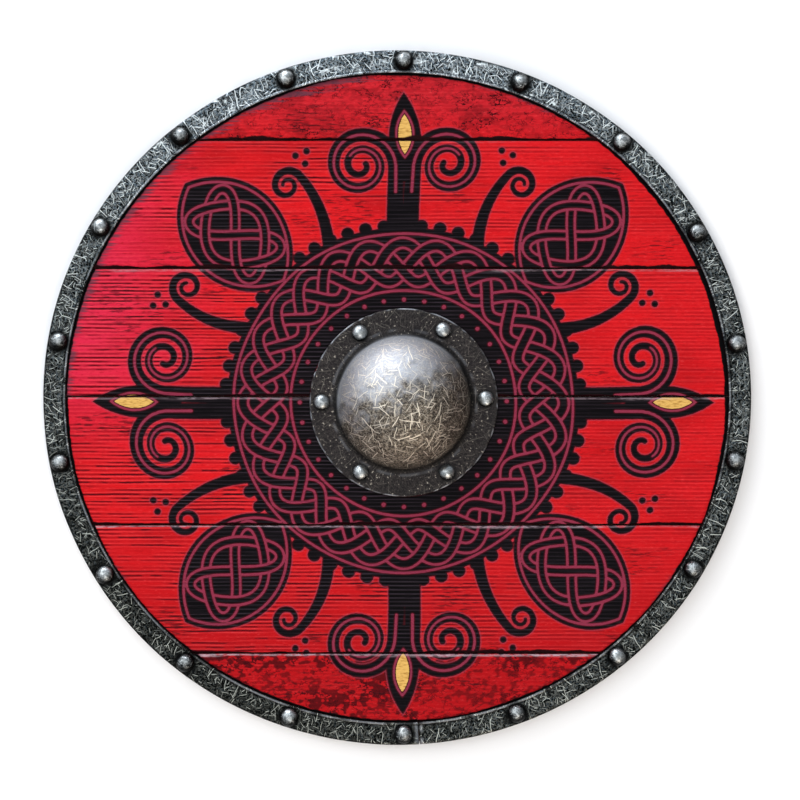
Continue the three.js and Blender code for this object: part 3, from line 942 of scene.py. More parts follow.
@dataclass(frozen=True)
class BlackenedIron:
    """Sheet iron blackened by oil and heat, then scratched back to bright metal.

    The black is a thin oxide, so the piece stays a dark metal with a fine grey crackle and pale, sharp-edged
    scratches. The mesh says where the metal is worn, which on the band is partly painted light, where it is
    rubbed smooth and painted with highlights, and where grime and painted shade sit, and it carries each
    point's place on the unrolled sheet, in mm. Real scratches are finer than these, which are drawn about
    half a millimetre wide so that they show.
    """

    name: str
    black: str = "#030403"
    film: str = "#1B1D1A"
    worn_black: str = "#090C0D"
    # on the band the worn colours, pale and bluish, are partly painted cool light from the top
    worn_film: str = "#4F5C65"
    bright: str = "#DCDFD2"
    worn_bright: str = "#E2EBEE"
    # rubbed_and_highlight: the colour of rubbed metal and of painted highlights
    rubbed_and_highlight: str = "#B9BDC4"
    # grime_and_shade: the colour of grime and of painted shade
    grime_and_shade: str = "#050606"
    crackle: float = 2.3
    film_from: float = 0.5
    film_band: float = 0.1
    fleck: float = 0.4
    web: float = 0.42
    dots: float = 0.0
    calm: float = 0.85
    dull: float = 0.5
    blaze: float = 1.0
    pits: float = 0.25
    spread: float = 0.1
    sway: float = 2.2
    nets: tuple[ScratchNet, ...] = ()
    metallic: float = 0.96
    roughness: float = 0.5
    bright_roughness: float = 0.38

    def _unrolled(self, s: Shade) -> Socket:
        """Give places on the unrolled sheet, swayed so that long scratches bend a little.

        Args:
            s: The material under way.

        Returns:
            The places, in mm.
        """
        flat = node(s.tree, "ShaderNodeAttribute", attribute_name="unrolled").outputs["Vector"]
        inputs = {"Vector": flat, "Scale": 0.12, "Detail": 1.0}
        drift = node(s.tree, "ShaderNodeTexNoise", inputs).outputs["Color"]
        inputs = {0: drift, 1: (self.sway, self.sway, 0.0)}
        drift = node(s.tree, "ShaderNodeVectorMath", inputs, operation="MULTIPLY").outputs[0]
        return node(s.tree, "ShaderNodeVectorMath", {0: flat, 1: drift}, operation="ADD").outputs[0]

    def _film(self, s: Shade, worn: Socket, patch: Socket, crackle: Socket) -> Socket:
        """Give the colour of the blackened sheet with its grey crackle.

        Args:
            s: The material under way.
            worn: How worn the sheet is.
            patch: Patchy noise.
            crackle: Fine noise.

        Returns:
            The colour without scratches.
        """
        tone = s.add(Step.ADD, crackle, s.add(Step.MULTIPLY_ADD, patch, 0.24, -0.12))
        tone = s.add(Step.ADD, tone, s.add(Step.MULTIPLY_ADD, worn, self.spread, -0.6 * self.spread))
        amount = s.add(Step.EASE, tone, self.film_from, self.film_from + self.film_band)
        black = s.add(Step.BLEND, worn, self.black, self.worn_black)
        return s.add(Step.BLEND, amount, black, s.add(Step.BLEND, worn, self.film, self.worn_film))

    def _marks(self, s: Shade, flat: Socket, worn: Socket) -> Socket:
        """Find the sharp scratches and dots. The fainter ones go where the sheet is little worn.

        Args:
            s: The material under way.
            flat: Places on the unrolled sheet.
            worn: How worn the sheet is.

        Returns:
            How deep the marks are.
        """
        marks: Any = 0.0
        for k, net in enumerate(self.nets):
            marks = s.add(Step.MAXIMUM, marks, s.scratches(flat, net, k + 1.3))
        faint = s.add(Step.EASE, worn, 0.0, 0.9, self.dull, 0.0)
        marks = s.add(Step.MAXIMUM, s.add(Step.SUBTRACT, marks, faint), 0.0)
        dots = s.add(
            Step.EASE, s.add(Step.NOISE, s.place((2.6, 2.6, 2.6), flat), 1.0), 0.67, 0.72, 0.0, self.dots
        )
        return s.add(Step.MAXIMUM, marks, dots)

    def _webbed(self, s: Shade, flat: Socket, patch: Socket) -> Socket:
        """Find the fine web of worn lines and the flecks between the scratches.

        Args:
            s: The material under way.
            flat: Places on the unrolled sheet.
            patch: Patchy noise.

        Returns:
            How bright the web is.
        """
        web = s.add(Step.NOISE, s.place((3.1, 3.1, 3.1), flat), 2.0)
        web = s.add(Step.ABSOLUTE, s.add(Step.SUBTRACT, web, 0.5))
        web = s.add(Step.EASE, web, 0.05, 0.012, 0.0, self.web)
        web = s.add(Step.MULTIPLY, web, s.add(Step.EASE, patch, 0.3, 0.65, 0.3, 1.0))
        speck = s.add(Step.NOISE, s.place((self.crackle * 0.7,) * 3, flat), 1.0)
        return s.add(Step.MAXIMUM, web, s.add(Step.MULTIPLY, s.add(Step.EASE, speck, 0.6, 0.7), self.fleck))

    def _blazed(self, s: Shade, flat: Socket, worn: Socket, crackle: Socket) -> Socket:
        """Find the patches where the worn sheet is scoured bright.

        Args:
            s: The material under way.
            flat: Places on the unrolled sheet.
            worn: How worn the sheet is.
            crackle: Fine noise.

        Returns:
            How bright the patches are.
        """
        blaze = s.add(
            Step.EASE, s.add(Step.NOISE, s.place((17, 9, 9), flat), 3.0, 0.6), 0.58, 0.68, 0.0, self.blaze
        )
        blaze = s.add(Step.MULTIPLY, blaze, s.add(Step.EASE, worn, 0.4, 0.9))
        return s.add(Step.MULTIPLY, blaze, s.add(Step.EASE, crackle, 0.35, 0.6, 0.25, 1.0))

    def material(self) -> bpy.types.Material:
        """Build the iron.

        Returns:
            The material.
        """
        s = Shade(self.name)
        flat = self._unrolled(s)
        carried = ("worn", "rub_and_highlight", "grime_and_shade")
        worn, rub_and_highlight, grime_and_shade = (s.add(Step.CARRIED, attribute_name=name) for name in carried)
        patch = s.add(Step.NOISE, s.place((13, 13, 13), flat), 3.0)
        crackle = s.add(Step.NOISE, s.place((self.crackle,) * 3, flat), 1.5, 0.6)
        marks = self._marks(s, flat, worn)
        busy = s.add(Step.MULTIPLY, s.add(Step.MULTIPLY_ADD, worn, self.calm, 1.0 - self.calm), 0.8)
        bare = s.add(Step.MAXIMUM, marks, s.add(Step.MULTIPLY, self._webbed(s, flat, patch), busy))
        bare = s.add(Step.MAXIMUM, bare, self._blazed(s, flat, worn, crackle))
        pitted = s.add(Step.EASE, crackle, 0.3, 0.6, 1.0, 1.0 - self.pits)
        colour = self._film(s, worn, patch, crackle)
        # rubbed metal and painted highlights
        colour = s.add(Step.BLEND, s.add(Step.MULTIPLY, rub_and_highlight, pitted), colour, self.rubbed_and_highlight)
        colour = s.add(Step.BLEND, bare, colour, s.add(Step.BLEND, worn, self.bright, self.worn_bright))
        # grime and painted shade
        colour = s.add(Step.BLEND, grime_and_shade, colour, self.grime_and_shade)
        clean = s.add(Step.SUBTRACT, 1.0, grime_and_shade)
        bare = s.add(Step.MULTIPLY, s.add(Step.MAXIMUM, bare, rub_and_highlight), clean)
        rough = s.add(Step.EASE, bare, 0.0, 1.0, self.roughness, self.bright_roughness)
        height = s.add(Step.MULTIPLY_ADD, marks, -0.10, s.add(Step.MULTIPLY, crackle, 0.12))
        height = s.add(Step.MULTIPLY, height, s.add(Step.MULTIPLY_ADD, rub_and_highlight, -0.8, 1.0))
        return s.finish(Base_Color=colour, Metallic=self.metallic, Roughness=rough, height=height)


# ---------------------------------------------------------------- meshes


@dataclass
class Shell:
    """Points, faces and numbers at the points, before they become an object."""

    points: Array
    faces: list[tuple[int, ...]]
    numbers: dict[str, Array] = field(default_factory=dict)
    slots: Array | None = None

    def joined(self, other: Shell) -> Shell:
        """Put another shell after this one, in its second material slot.

        Args:
            other: The other shell. A number that it doesn't carry is 0 on its points.

        Returns:
            The two as one.
        """
        shift = len(self.points)
        faces = self.faces + [tuple(i + shift for i in f) for f in other.faces]
        numbers = {}
        for name, value in self.numbers.items():
            blank = np.zeros((len(other.points), *value.shape[1:]))
            numbers[name] = np.concatenate([value, other.numbers.get(name, blank)])
        slots = np.repeat([0, 1], [len(self.faces), len(other.faces)])
        return Shell(np.concatenate([self.points, other.points]), faces, numbers, slots)

    def make(self, name: str, materials: Sequence[bpy.types.Material]) -> bpy.types.Object:
        """Make the object.

        Args:
            name: Its name.
            materials: Its materials, in slot order.

        Returns:
            The object, in metres.
        """
        mesh = bpy.data.meshes.new(name)
        mesh.from_pydata((self.points * METRES).tolist(), [], self.faces)
        for material in materials:
            mesh.materials.append(material)
        if self.slots is not None:
            mesh.polygons.foreach_set("material_index", self.slots.astype(np.int32))
        for key, value in self.numbers.items():
            kind, slot = ("FLOAT_VECTOR", "vector") if value.ndim == 2 else ("FLOAT", "value")
            mesh.attributes.new(key, kind, "POINT").data.foreach_set(slot, value.astype(np.float32).ravel())
        mesh.validate()
        mesh.shade_smooth()
        made = bpy.data.objects.new(name, mesh)
        bpy.context.collection.objects.link(made)
        return made


def grid_faces(rows: int, columns: int, wrap: bool = False) -> list[tuple[int, ...]]:
    """Give the faces of a grid of points that is stored row after row.

    Args:
        rows: How many rows of points.
        columns: How many points in a row.
        wrap: Join each row's last point to its first.

    Returns:
        Four-cornered faces that face up when x grows along a row and y from row to row.
    """
    r, c = np.arange(rows - 1), np.arange(columns if wrap else columns - 1)
    r, c = (part.ravel() for part in np.meshgrid(r, c, indexing="ij"))
    up, right = r + 1, (c + 1) % columns
    corners = (r * columns + c, r * columns + right, up * columns + right, up * columns + c)
    return list(map(tuple, np.stack(corners, 1).tolist()))


def end_caps(rows: int, columns: int) -> list[tuple[int, ...]]:
    """Give the two faces that close a tube made of rows of points."""
    last = (rows - 1) * columns
    return [tuple(range(columns)), tuple(reversed(range(last, rows * columns)))]


def shade_edges(piece: bpy.types.Object, degrees: float) -> None:
    """Keep edges sharper than that angle crisp."""
    piece.data.set_sharp_from_angle(angle=math.radians(degrees))


def turned_shell(profile: Array, sides: int) -> Shell:
    """Turn a profile of radius and height round the z axis.

    Args:
        profile: Rows of radius and height that run up the outside.
        sides: How many steps round.

    Returns:
        The shell. Its ends on the axis are closed by a fan of thin faces.
    """
    angle = np.arange(sides) * TAU / sides
    radius, height = profile[:, :1], np.broadcast_to(profile[:, 1:], (len(profile), sides))
    points = np.stack([radius * np.cos(angle), radius * np.sin(angle), height], 2)
    return Shell(points.reshape(-1, 3), grid_faces(len(profile), sides, wrap=True))


def rounded(profile: Sequence[tuple[float, float]], radius: float, steps: int = 3) -> Array:
    """Round a profile's inner corners.

    Args:
        profile: Rows of two numbers.
        radius: How far from each corner its rounding starts, where there is room.
        steps: How many pieces each rounding has.

    Returns:
        The profile with its corners rounded.
    """
    line = np.array(profile, dtype=float)
    out = [line[0]]
    for before, corner, after in zip(line[:-2], line[1:-1], line[2:]):
        a, b = before - corner, after - corner
        near = min(radius, 0.45 * float(np.hypot(*a)), 0.45 * float(np.hypot(*b)))
        start, stop = corner + a / np.hypot(*a) * near, corner + b / np.hypot(*b) * near
        for t in np.linspace(0.0, 1.0, steps + 1):
            out.append((1 - t) ** 2 * start + 2 * t * (1 - t) * corner + t**2 * stop)
    out.append(line[-1])
    return np.array(out)


# ---------------------------------------------------------------- boards


class Grain(Enum):
    """How a board's face was worked."""

    BRUSHED = "brushed"
    STIPPLED = "stippled"


@dataclass
class Board:
    """One plank: a finely modelled painted face on a plain stained back."""

    name: str
    below: Joint | None
    above: Joint | None
    grain: Grain
    seed: int
    mottling: float = 1.0
    cell_x: float = 1.35
    cell_y: float = 0.62
    groove_pitch: tuple[float, float] = (2.7, 3.9)
    groove_spacing: float = 3.6
    groove_depth: float = 0.5
    groove_half_width: float = 0.95
    joint_depth: float = 2.1
    deepest: float = 2.2
    face_inset: float = 9.0
    clearance: float = 0.2
    hole_margin: float = 0.4
    wall_foot: float = 9.4
    back_top: float = 10.4
    back_rounding: float = 0.5

    def __post_init__(self) -> None:
        """Work out the board's long edges."""
        self.low = self.below.y + self.clearance if self.below else -SHIELD.height / 2
        self.high = self.above.y - self.clearance if self.above else SHIELD.height / 2

    def _grid(self) -> tuple[Array, Array]:
        """Lay out the face's points: rows along the board, each as long as the oval is there.

        Returns:
            The points' x and y, row by row.
        """
        half_x, half_y = SHIELD.width / 2 - self.face_inset, SHIELD.height / 2 - self.face_inset
        low, high = max(self.low, -0.985 * half_y), min(self.high, 0.985 * half_y)
        y = np.linspace(low, high, int((high - low) / self.cell_y) + 1)
        reach = half_x * np.sqrt(1 - (y / half_y) ** 2)
        share = np.linspace(-1.0, 1.0, int(2 * reach.max() / self.cell_x))
        return reach[:, None] * share, np.broadcast_to(y[:, None], (len(y), len(share))).copy()

    def _grooves(self, x: Array, y: Array) -> tuple[Array, Array]:
        """Lay out the brushed grooves: uneven, interrupted lines along the board.

        Args:
            x: The points' x.
            y: The points' y.

        Returns:
            A count that is whole on each groove, and how deep the nearest groove is there, from 0 to 1.
        """
        rng, noise = np.random.default_rng(self.seed), PlaneNoise(self.seed)
        gaps = rng.uniform(*self.groove_pitch, int(160 / self.groove_pitch[0]))
        bent = y - 1.5 * (noise.at(x, y, 130, 60) - 0.5) - 0.8 * (noise.at(x, y, 31, 9) - 0.5)
        start = max(self.low, -SHIELD.height / 2) - 8
        comb = np.interp(bent, start + np.cumsum(gaps), np.arange(len(gaps)))
        nearest = np.round(comb)
        own = rng.uniform(0.55, 1.0, len(gaps))[nearest.astype(int)]
        long_run = smooth(0.12, 0.5, noise.at(x, nearest * 7.0, 60, 5))
        dashes = 0.55 + 0.45 * smooth(0.25, 0.5, noise.at(x + 300, nearest * 9.0, 9, 5))
        region = 0.4 + 0.6 * smooth(0.2, 0.45, noise.at(x + 400, y, 110, 34))
        side = 1.0 - 0.5 * smooth(-40, 200, x)
        return comb, own * long_run * dashes * region * side

    def _mottle(self, x: Array, y: Array) -> tuple[Array, Array]:
        """Find a stippled board's dark spots and where its paint has crackled.

        Args:
            x: The points' x.
            y: The points' y.

        Returns:
            How dark the spots are and how crackled the paint is, from 0 to 1.
        """
        noise = PlaneNoise(self.seed + 50)
        patch = smooth(0.3, 0.7, noise.at(x, y, 30, 17))
        spot = noise.at(x, y, 5.0, 3.6) * 0.6 + noise.at(x + 70, y, 2.4, 1.9) * 0.4
        spot = smooth(0.51, 0.6, spot + 0.1 * (patch - 0.5)) * (0.7 + 0.3 * patch)
        return spot * self.mottling, 0.6 + 0.4 * patch

    def _corners(self, x: Array, y: Array, noise: PlaneNoise) -> tuple[Array, Array, Array]:
        """Measure the unevenly worn corners along the board's two joints.

        Args:
            x: The points' x.
            y: The points' y.
            noise: What makes them uneven.

        Returns:
            How far each point lies from the joint below and from the joint above, counted in the worn
            corner's width, and how pale the upper corner is, rubbed and painted with a highlight.
        """
        flat = np.zeros_like(x)
        foot, head, wear_and_highlight = flat + 4.0, flat + 8.0, flat
        if self.below:
            wave = 0.6 * noise.at(x, flat, 44, 9) + 0.4 * noise.at(x, flat + 30, 15, 9)
            width = self.below.shadow * (0.15 + 1.45 * smooth(0.15, 0.85, wave))
            foot = (y - self.low) / width
        if self.above:
            head = (self.high - y) / (0.8 + 0.6 * noise.at(x, flat + 70, 37, 9))
            kept = 0.15 + 0.45 * self.above.wear_and_highlight**2
            broken = smooth(0.3, 0.65, noise.at(x, flat + 40, 30, 9))
            wear_and_highlight = self.above.wear_and_highlight * (kept + (1 - kept) * broken)
        return foot, head, wear_and_highlight

    @staticmethod
    def _rim_wear_and_shadow(x: Array, y: Array, noise: PlaneNoise) -> tuple[Array, Array]:
        """Work out the dark gap along the band, grime and painted shadow, and how far the paint has frayed
        beside it, worn and darkened by painted shadow.

        Args:
            x: The points' x.
            y: The points' y.
            noise: What makes them uneven.

        Returns:
            The width of the gap, wider at the right, and of the frayed paint, wider at the upper left.
        """
        angle = np.arctan2(y, x)
        gap = 0.5 + 2.3 * smooth(0.75, 0.15, np.abs(angle - 0.3)) + 1.5 * noise.at(x, y + 90, 42, 42)
        upper_left = smooth(1.5, 0.4, np.abs(angle - 2.35))
        return gap, 2.5 + 8.5 * upper_left + 3.0 * smooth(0.4, 0.9, noise.at(x, y, 36, 36))

    def _face(self) -> Shell:
        """Build the painted face.

        Returns:
            The face with its relief, and what the paint needs to know at each point.
        """
        x, y = self._grid()
        noise = PlaneNoise(self.seed + 11)
        rim = SHIELD.inset(x, y) - SHIELD.rim_face
        comb, groove = self._grooves(x, y)
        mottle = stipple = np.zeros_like(x)
        if self.grain is Grain.STIPPLED:
            mottle, stipple = self._mottle(x, y)
            groove = groove * 0.25
        foot, head, wear_and_highlight = self._corners(x, y, noise)
        gap, fray = self._rim_wear_and_shadow(x, y, noise)
        covered, spared, gold = PaintedPattern().distances(x.ravel(), y.ravel())
        numbers = {
            "covered": np.clip(covered, -4, 4),
            "spared": np.clip(spared, -4, 4),
            "gold": np.clip(gold, -4, 4),
            "comb": comb,
            "groove": groove,
            "mottle": mottle,
            "stipple": stipple,
            "rim": np.clip(rim, -5, 60),
            "gap": gap,
            "fray": fray,
            "foot": np.clip(foot, 0, 4),
            "head": np.clip(head, 0, 8),
            "arris": wear_and_highlight,
            "plank": np.zeros_like(x),
        }
        line = smooth(self.groove_half_width, 0.0, np.abs(comb - np.round(comb)) * self.groove_spacing)
        depth = self.groove_depth * groove * line + 0.3 * mottle + 0.25 * noise.at(x, y, 120, 45)
        depth += 0.7 * smooth(2.5 + 2.0 * noise.at(x, y, 40, 40), 0.2, rim)
        corner = np.maximum(np.clip(1 - foot, 0, 1) ** 0.7, np.clip(1 - head, 0, 1) ** 0.8)
        depth = np.maximum(depth, self.joint_depth * corner)
        return self._cut_out(x, y, np.minimum(depth, self.deepest), numbers)

    def _cut_out(self, x: Array, y: Array, depth: Array, numbers: dict[str, Array]) -> Shell:
        """Cut the hand hole out of the face and give it its long walls.

        Args:
            x: The points' x, row by row.
            y: The points' y.
            depth: How far they lie below the board's flat face.
            numbers: What the paint needs to know at each point.

        Returns:
            The face. The points next to the hole are pushed out to its edge.
        """
        off_x, off_y = x - SHIELD.boss_x, y - SHIELD.boss_y
        from_middle, hole = np.hypot(off_x, off_y), SHIELD.hand_hole + self.hole_margin
        inside = from_middle < hole
        push = np.where(inside, hole / np.maximum(from_middle, TINY), 1.0)
        px, py = SHIELD.boss_x + off_x * push, SHIELD.boss_y + off_y * push
        rows, columns = x.shape
        faces = np.array(grid_faces(rows, columns))
        faces = faces[~inside.ravel()[faces].all(1)]
        points = np.stack([px.ravel(), py.ravel(), (SHIELD.board_face - depth).ravel()], 1)
        flat = {name: value.ravel() for name, value in numbers.items()}
        return self._walled(Shell(points, list(map(tuple, faces.tolist())), flat), rows, columns)

    def _walled(self, face: Shell, rows: int, columns: int) -> Shell:
        """Drop a narrow wall from the face's two long edges, so that the joints have sides.

        Args:
            face: The face.
            rows: How many rows of points it has.
            columns: How many points in a row.

        Returns:
            The face with its walls.
        """
        shift = len(face.points)
        edges = (np.arange(columns), np.arange(columns) + (rows - 1) * columns)
        for k, edge in enumerate(edges):
            wall = face.points[edge].copy()
            wall[:, 2] = self.wall_foot
            face.points = np.concatenate([face.points, wall])
            for name, value in face.numbers.items():
                face.numbers[name] = np.concatenate([value, value[edge]])
            for c in range(columns - 1):
                quad = (edge[c], edge[c + 1], shift + c + 1, shift + c)
                face.faces.append(tuple(int(i) for i in (quad[::-1] if k == 0 else quad)))
            shift += columns
        return face

    def _back(self) -> Shell:
        """Build the plain body under the face from the board's solid, with rounded lower edges.

        Returns:
            The body. Its grain starts at a place of its own.
        """
        bm = bmesh.new()
        bm.from_mesh(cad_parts[self.name].data)
        bmesh.ops.remove_doubles(bm, verts=bm.verts, dist=TINY)
        for vertex in bm.verts:
            vertex.co.z = min(vertex.co.z, self.back_top * METRES)
        bmesh.ops.dissolve_limit(bm, angle_limit=math.radians(0.5), verts=bm.verts, edges=bm.edges)
        sharp = [e for e in bm.edges if len(e.link_faces) == 2 and e.calc_face_angle(0.0) > 1.0]
        level = (SHIELD.board_back + 0.1) * METRES
        low = [e for e in sharp if max(v.co.z for v in e.verts) < level]
        rounding = self.back_rounding * METRES
        bmesh.ops.bevel(bm, geom=low, offset=rounding, segments=2, affect="EDGES", clamp_overlap=True)
        bm.verts.index_update()
        points = np.array([v.co[:] for v in bm.verts]) / METRES
        faces = [tuple(v.index for v in f.verts) for f in bm.faces]
        bm.free()
        return Shell(points, faces, {"plank": np.full(len(points), self.seed * 1.7)})

    def build(self, paint: bpy.types.Material, stain: bpy.types.Material) -> bpy.types.Object:
        """Make the board.

        Args:
            paint: The face's material.
            stain: The back's material.

        Returns:
            The board.
        """
        piece = self._face().joined(self._back()).make(f"{self.name}_dressed", [paint, stain])
        shade_edges(piece, 50)
        return piece


# ---------------------------------------------------------------- iron


@dataclass
class RimBand:
    """The channel of sheet iron round the boards, with a raised lip and one butt joint.

    Wear is a share from 0 to 1 at some angles, in degrees anticlockwise from the right. It is highest at
    the top, so the band is paler and bluer there and darker below: partly wear, partly painted light.
    """

    name: str = "rim_band"
    sheet: float = 1.5
    back_width: float = 14.0
    depth: float = 14.6
    lip_height: float = 0.7
    joint_degrees: float = 273.6
    joint_gap: float = 0.6
    stations: int = 900
    step: float = 0.9
    mean_radius: float = 300.0
    dent_depth: float = 0.55
    wear_and_light_degrees: tuple[float, ...] = (0, 30, 60, 85, 120, 145, 165, 190, 215, 250, 280, 320, 360)
    wear_and_light_shares: tuple[float, ...] = (
        *(0.45, 0.5, 0.85, 1.0, 0.95, 0.7, 0.45),
        *(0.3, 0.15, 0.12, 0.25, 0.3, 0.45),
    )

    def _section(self) -> tuple[Array, Array]:
        """Draw the band's section.

        Returns:
            Its points as inset and height, and how far each lies along the outer skin.
        """
        face, top = SHIELD.rim_face, self.depth + self.lip_height
        outside = [
            (self.back_width, self.sheet),
            (self.back_width, 0.3),
            (0.9, 0.3),
            (0.0, 1.3),
            (0.0, 12.8),
            (0.7, 14.1),
            (2.2, self.depth),
            (face - 2.4, self.depth - 0.1),
            (face - 1.8, top - 0.1),
            (face - 0.5, top),
            (face, top - 0.5),
            (face, 13.1),
        ]
        inside = [(self.sheet, 13.1), (self.sheet, 1.8), (self.back_width, 1.8)]
        line = rounded(outside, 0.9)
        dense = [line[0]]
        for a, b in zip(line[:-1], line[1:]):
            count = max(1, int(np.hypot(*(b - a)) / self.step))
            dense += [a + (b - a) * (k + 1) / count for k in range(count)]
        outer = np.array(dense)
        along = np.concatenate([[0.0], np.cumsum(np.hypot(*(outer[1:] - outer[:-1]).T))])
        return np.concatenate([outer, np.array(inside)]), np.concatenate([along, np.zeros(len(inside))])

    def _grimed_and_shaded(self, x: Array, y: Array, z: Array, arc: Array, at: Array, noise: PlaneNoise) -> Array:
        """Find the grime and painted shade along the outer edge, round the rivets and in the angle under the
        lip.

        Args:
            x: The points' x.
            y: The points' y.
            z: Their height.
            arc: How far round the band they lie.
            at: How far inside the outer edge they lie.
            noise: What makes the grime and painted shade uneven.

        Returns:
            How much grime and painted shade there is at each point, from 0 to 1.
        """
        grime_and_shade = 0.85 * smooth(2.6, 0.4, at) * smooth(0.25, 0.7, noise.at(arc, 0 * x, 9, 9))
        # grime with a painted contact shadow round each rivet
        for rivet in RIM_RIVETS:
            rivet_x, rivet_y = centre_of(rivet)
            off = np.hypot(x - rivet_x, y - rivet_y)
            ring = smooth(11.8 + 3.5 * noise.at(x, y, 6, 6), 7.8, off) * smooth(13.0, 14.0, z)
            grime_and_shade = np.maximum(grime_and_shade, 0.95 * ring)
        # painted shade and grime in the angle under the lip
        lip = smooth(SHIELD.rim_face - 3.6, SHIELD.rim_face - 2.4, at)
        return np.maximum(grime_and_shade, 0.7 * lip * smooth(self.depth + 0.35, self.depth + 0.1, z))

    def _rubbed_and_highlit(self, a: Array, z: Array, arc: Array, at: Array, noise: PlaneNoise) -> Array:
        """Find where the band is rubbed bright: on the lip's crest, partly a painted highlight, and at the
        butt joint's two ends.

        Args:
            a: The stations' angles.
            z: The points' height.
            arc: How far round the band they lie.
            at: How far inside the outer edge they lie.
            noise: What breaks the rubbed places up.

        Returns:
            How rubbed and highlit each point is, from 0 to 1.
        """
        # the lip's crest: rubbed and painted bright as a highlight
        crest = 0.32 * smooth(self.depth + 0.3, self.depth + 0.55, z)
        crest = crest * smooth(0.2, 0.6, noise.at(arc, 0 * z + 5, 11, 11))
        from_joint = 180.0 - np.abs(np.degrees(a) - self.joint_degrees - 180.0)
        ends = 0.5 * smooth(0.8, 0.2, from_joint) * smooth(0.35, 0.65, noise.at(arc, at, 5, 5))
        return np.maximum(crest, ends)

    def build(self, iron: bpy.types.Material) -> bpy.types.Object:
        """Make the band.

        Args:
            iron: Its material.

        Returns:
            The band.
        """
        section, along = self._section()
        half = math.degrees(self.joint_gap / SHIELD.height)
        start, stop = self.joint_degrees + half, self.joint_degrees + 360 - half
        a = np.radians(np.linspace(start, stop, self.stations))[:, None]
        x, y = SHIELD.point(a, section[:, 0][None, :])
        at, z = (np.broadcast_to(part, x.shape).copy() for part in section.T)
        noise, arc = PlaneNoise(401), np.broadcast_to(a * self.mean_radius, x.shape)
        dent = noise.at(arc, at, 26, 14) * 0.6 + noise.at(arc + 900, at, 7, 5) * 0.4
        z -= smooth(13.5, 14.2, z) * self.dent_depth * smooth(0.45, 0.95, dent)
        x, y = (c * (1 - 0.0012 * smooth(0.3, 0.9, noise.at(arc, z, 60, 60))) for c in (x, y))
        turn = (np.degrees(np.arctan2(y - SHIELD.boss_y, x - SHIELD.boss_x)) + 360.0) % 360.0
        numbers = {
            "unrolled": np.stack([arc, np.broadcast_to(along, x.shape), 0 * x], 2).reshape(-1, 3),
            "grime_and_shade": self._grimed_and_shaded(x, y, z, arc, at, noise).ravel(),
            "rub_and_highlight": self._rubbed_and_highlit(a, z, arc, at, noise).ravel(),
            # partly wear, partly painted light: paler and bluer towards the band's top
            "worn": np.interp(turn, self.wear_and_light_degrees, self.wear_and_light_shares).ravel(),
        }
        rows, columns = x.shape
        faces = grid_faces(rows, columns, wrap=True) + end_caps(rows, columns)
        points = np.stack([x, y, z], 2).reshape(-1, 3)
        return Shell(points, faces, numbers).make(f"{self.name}_dressed", [iron])


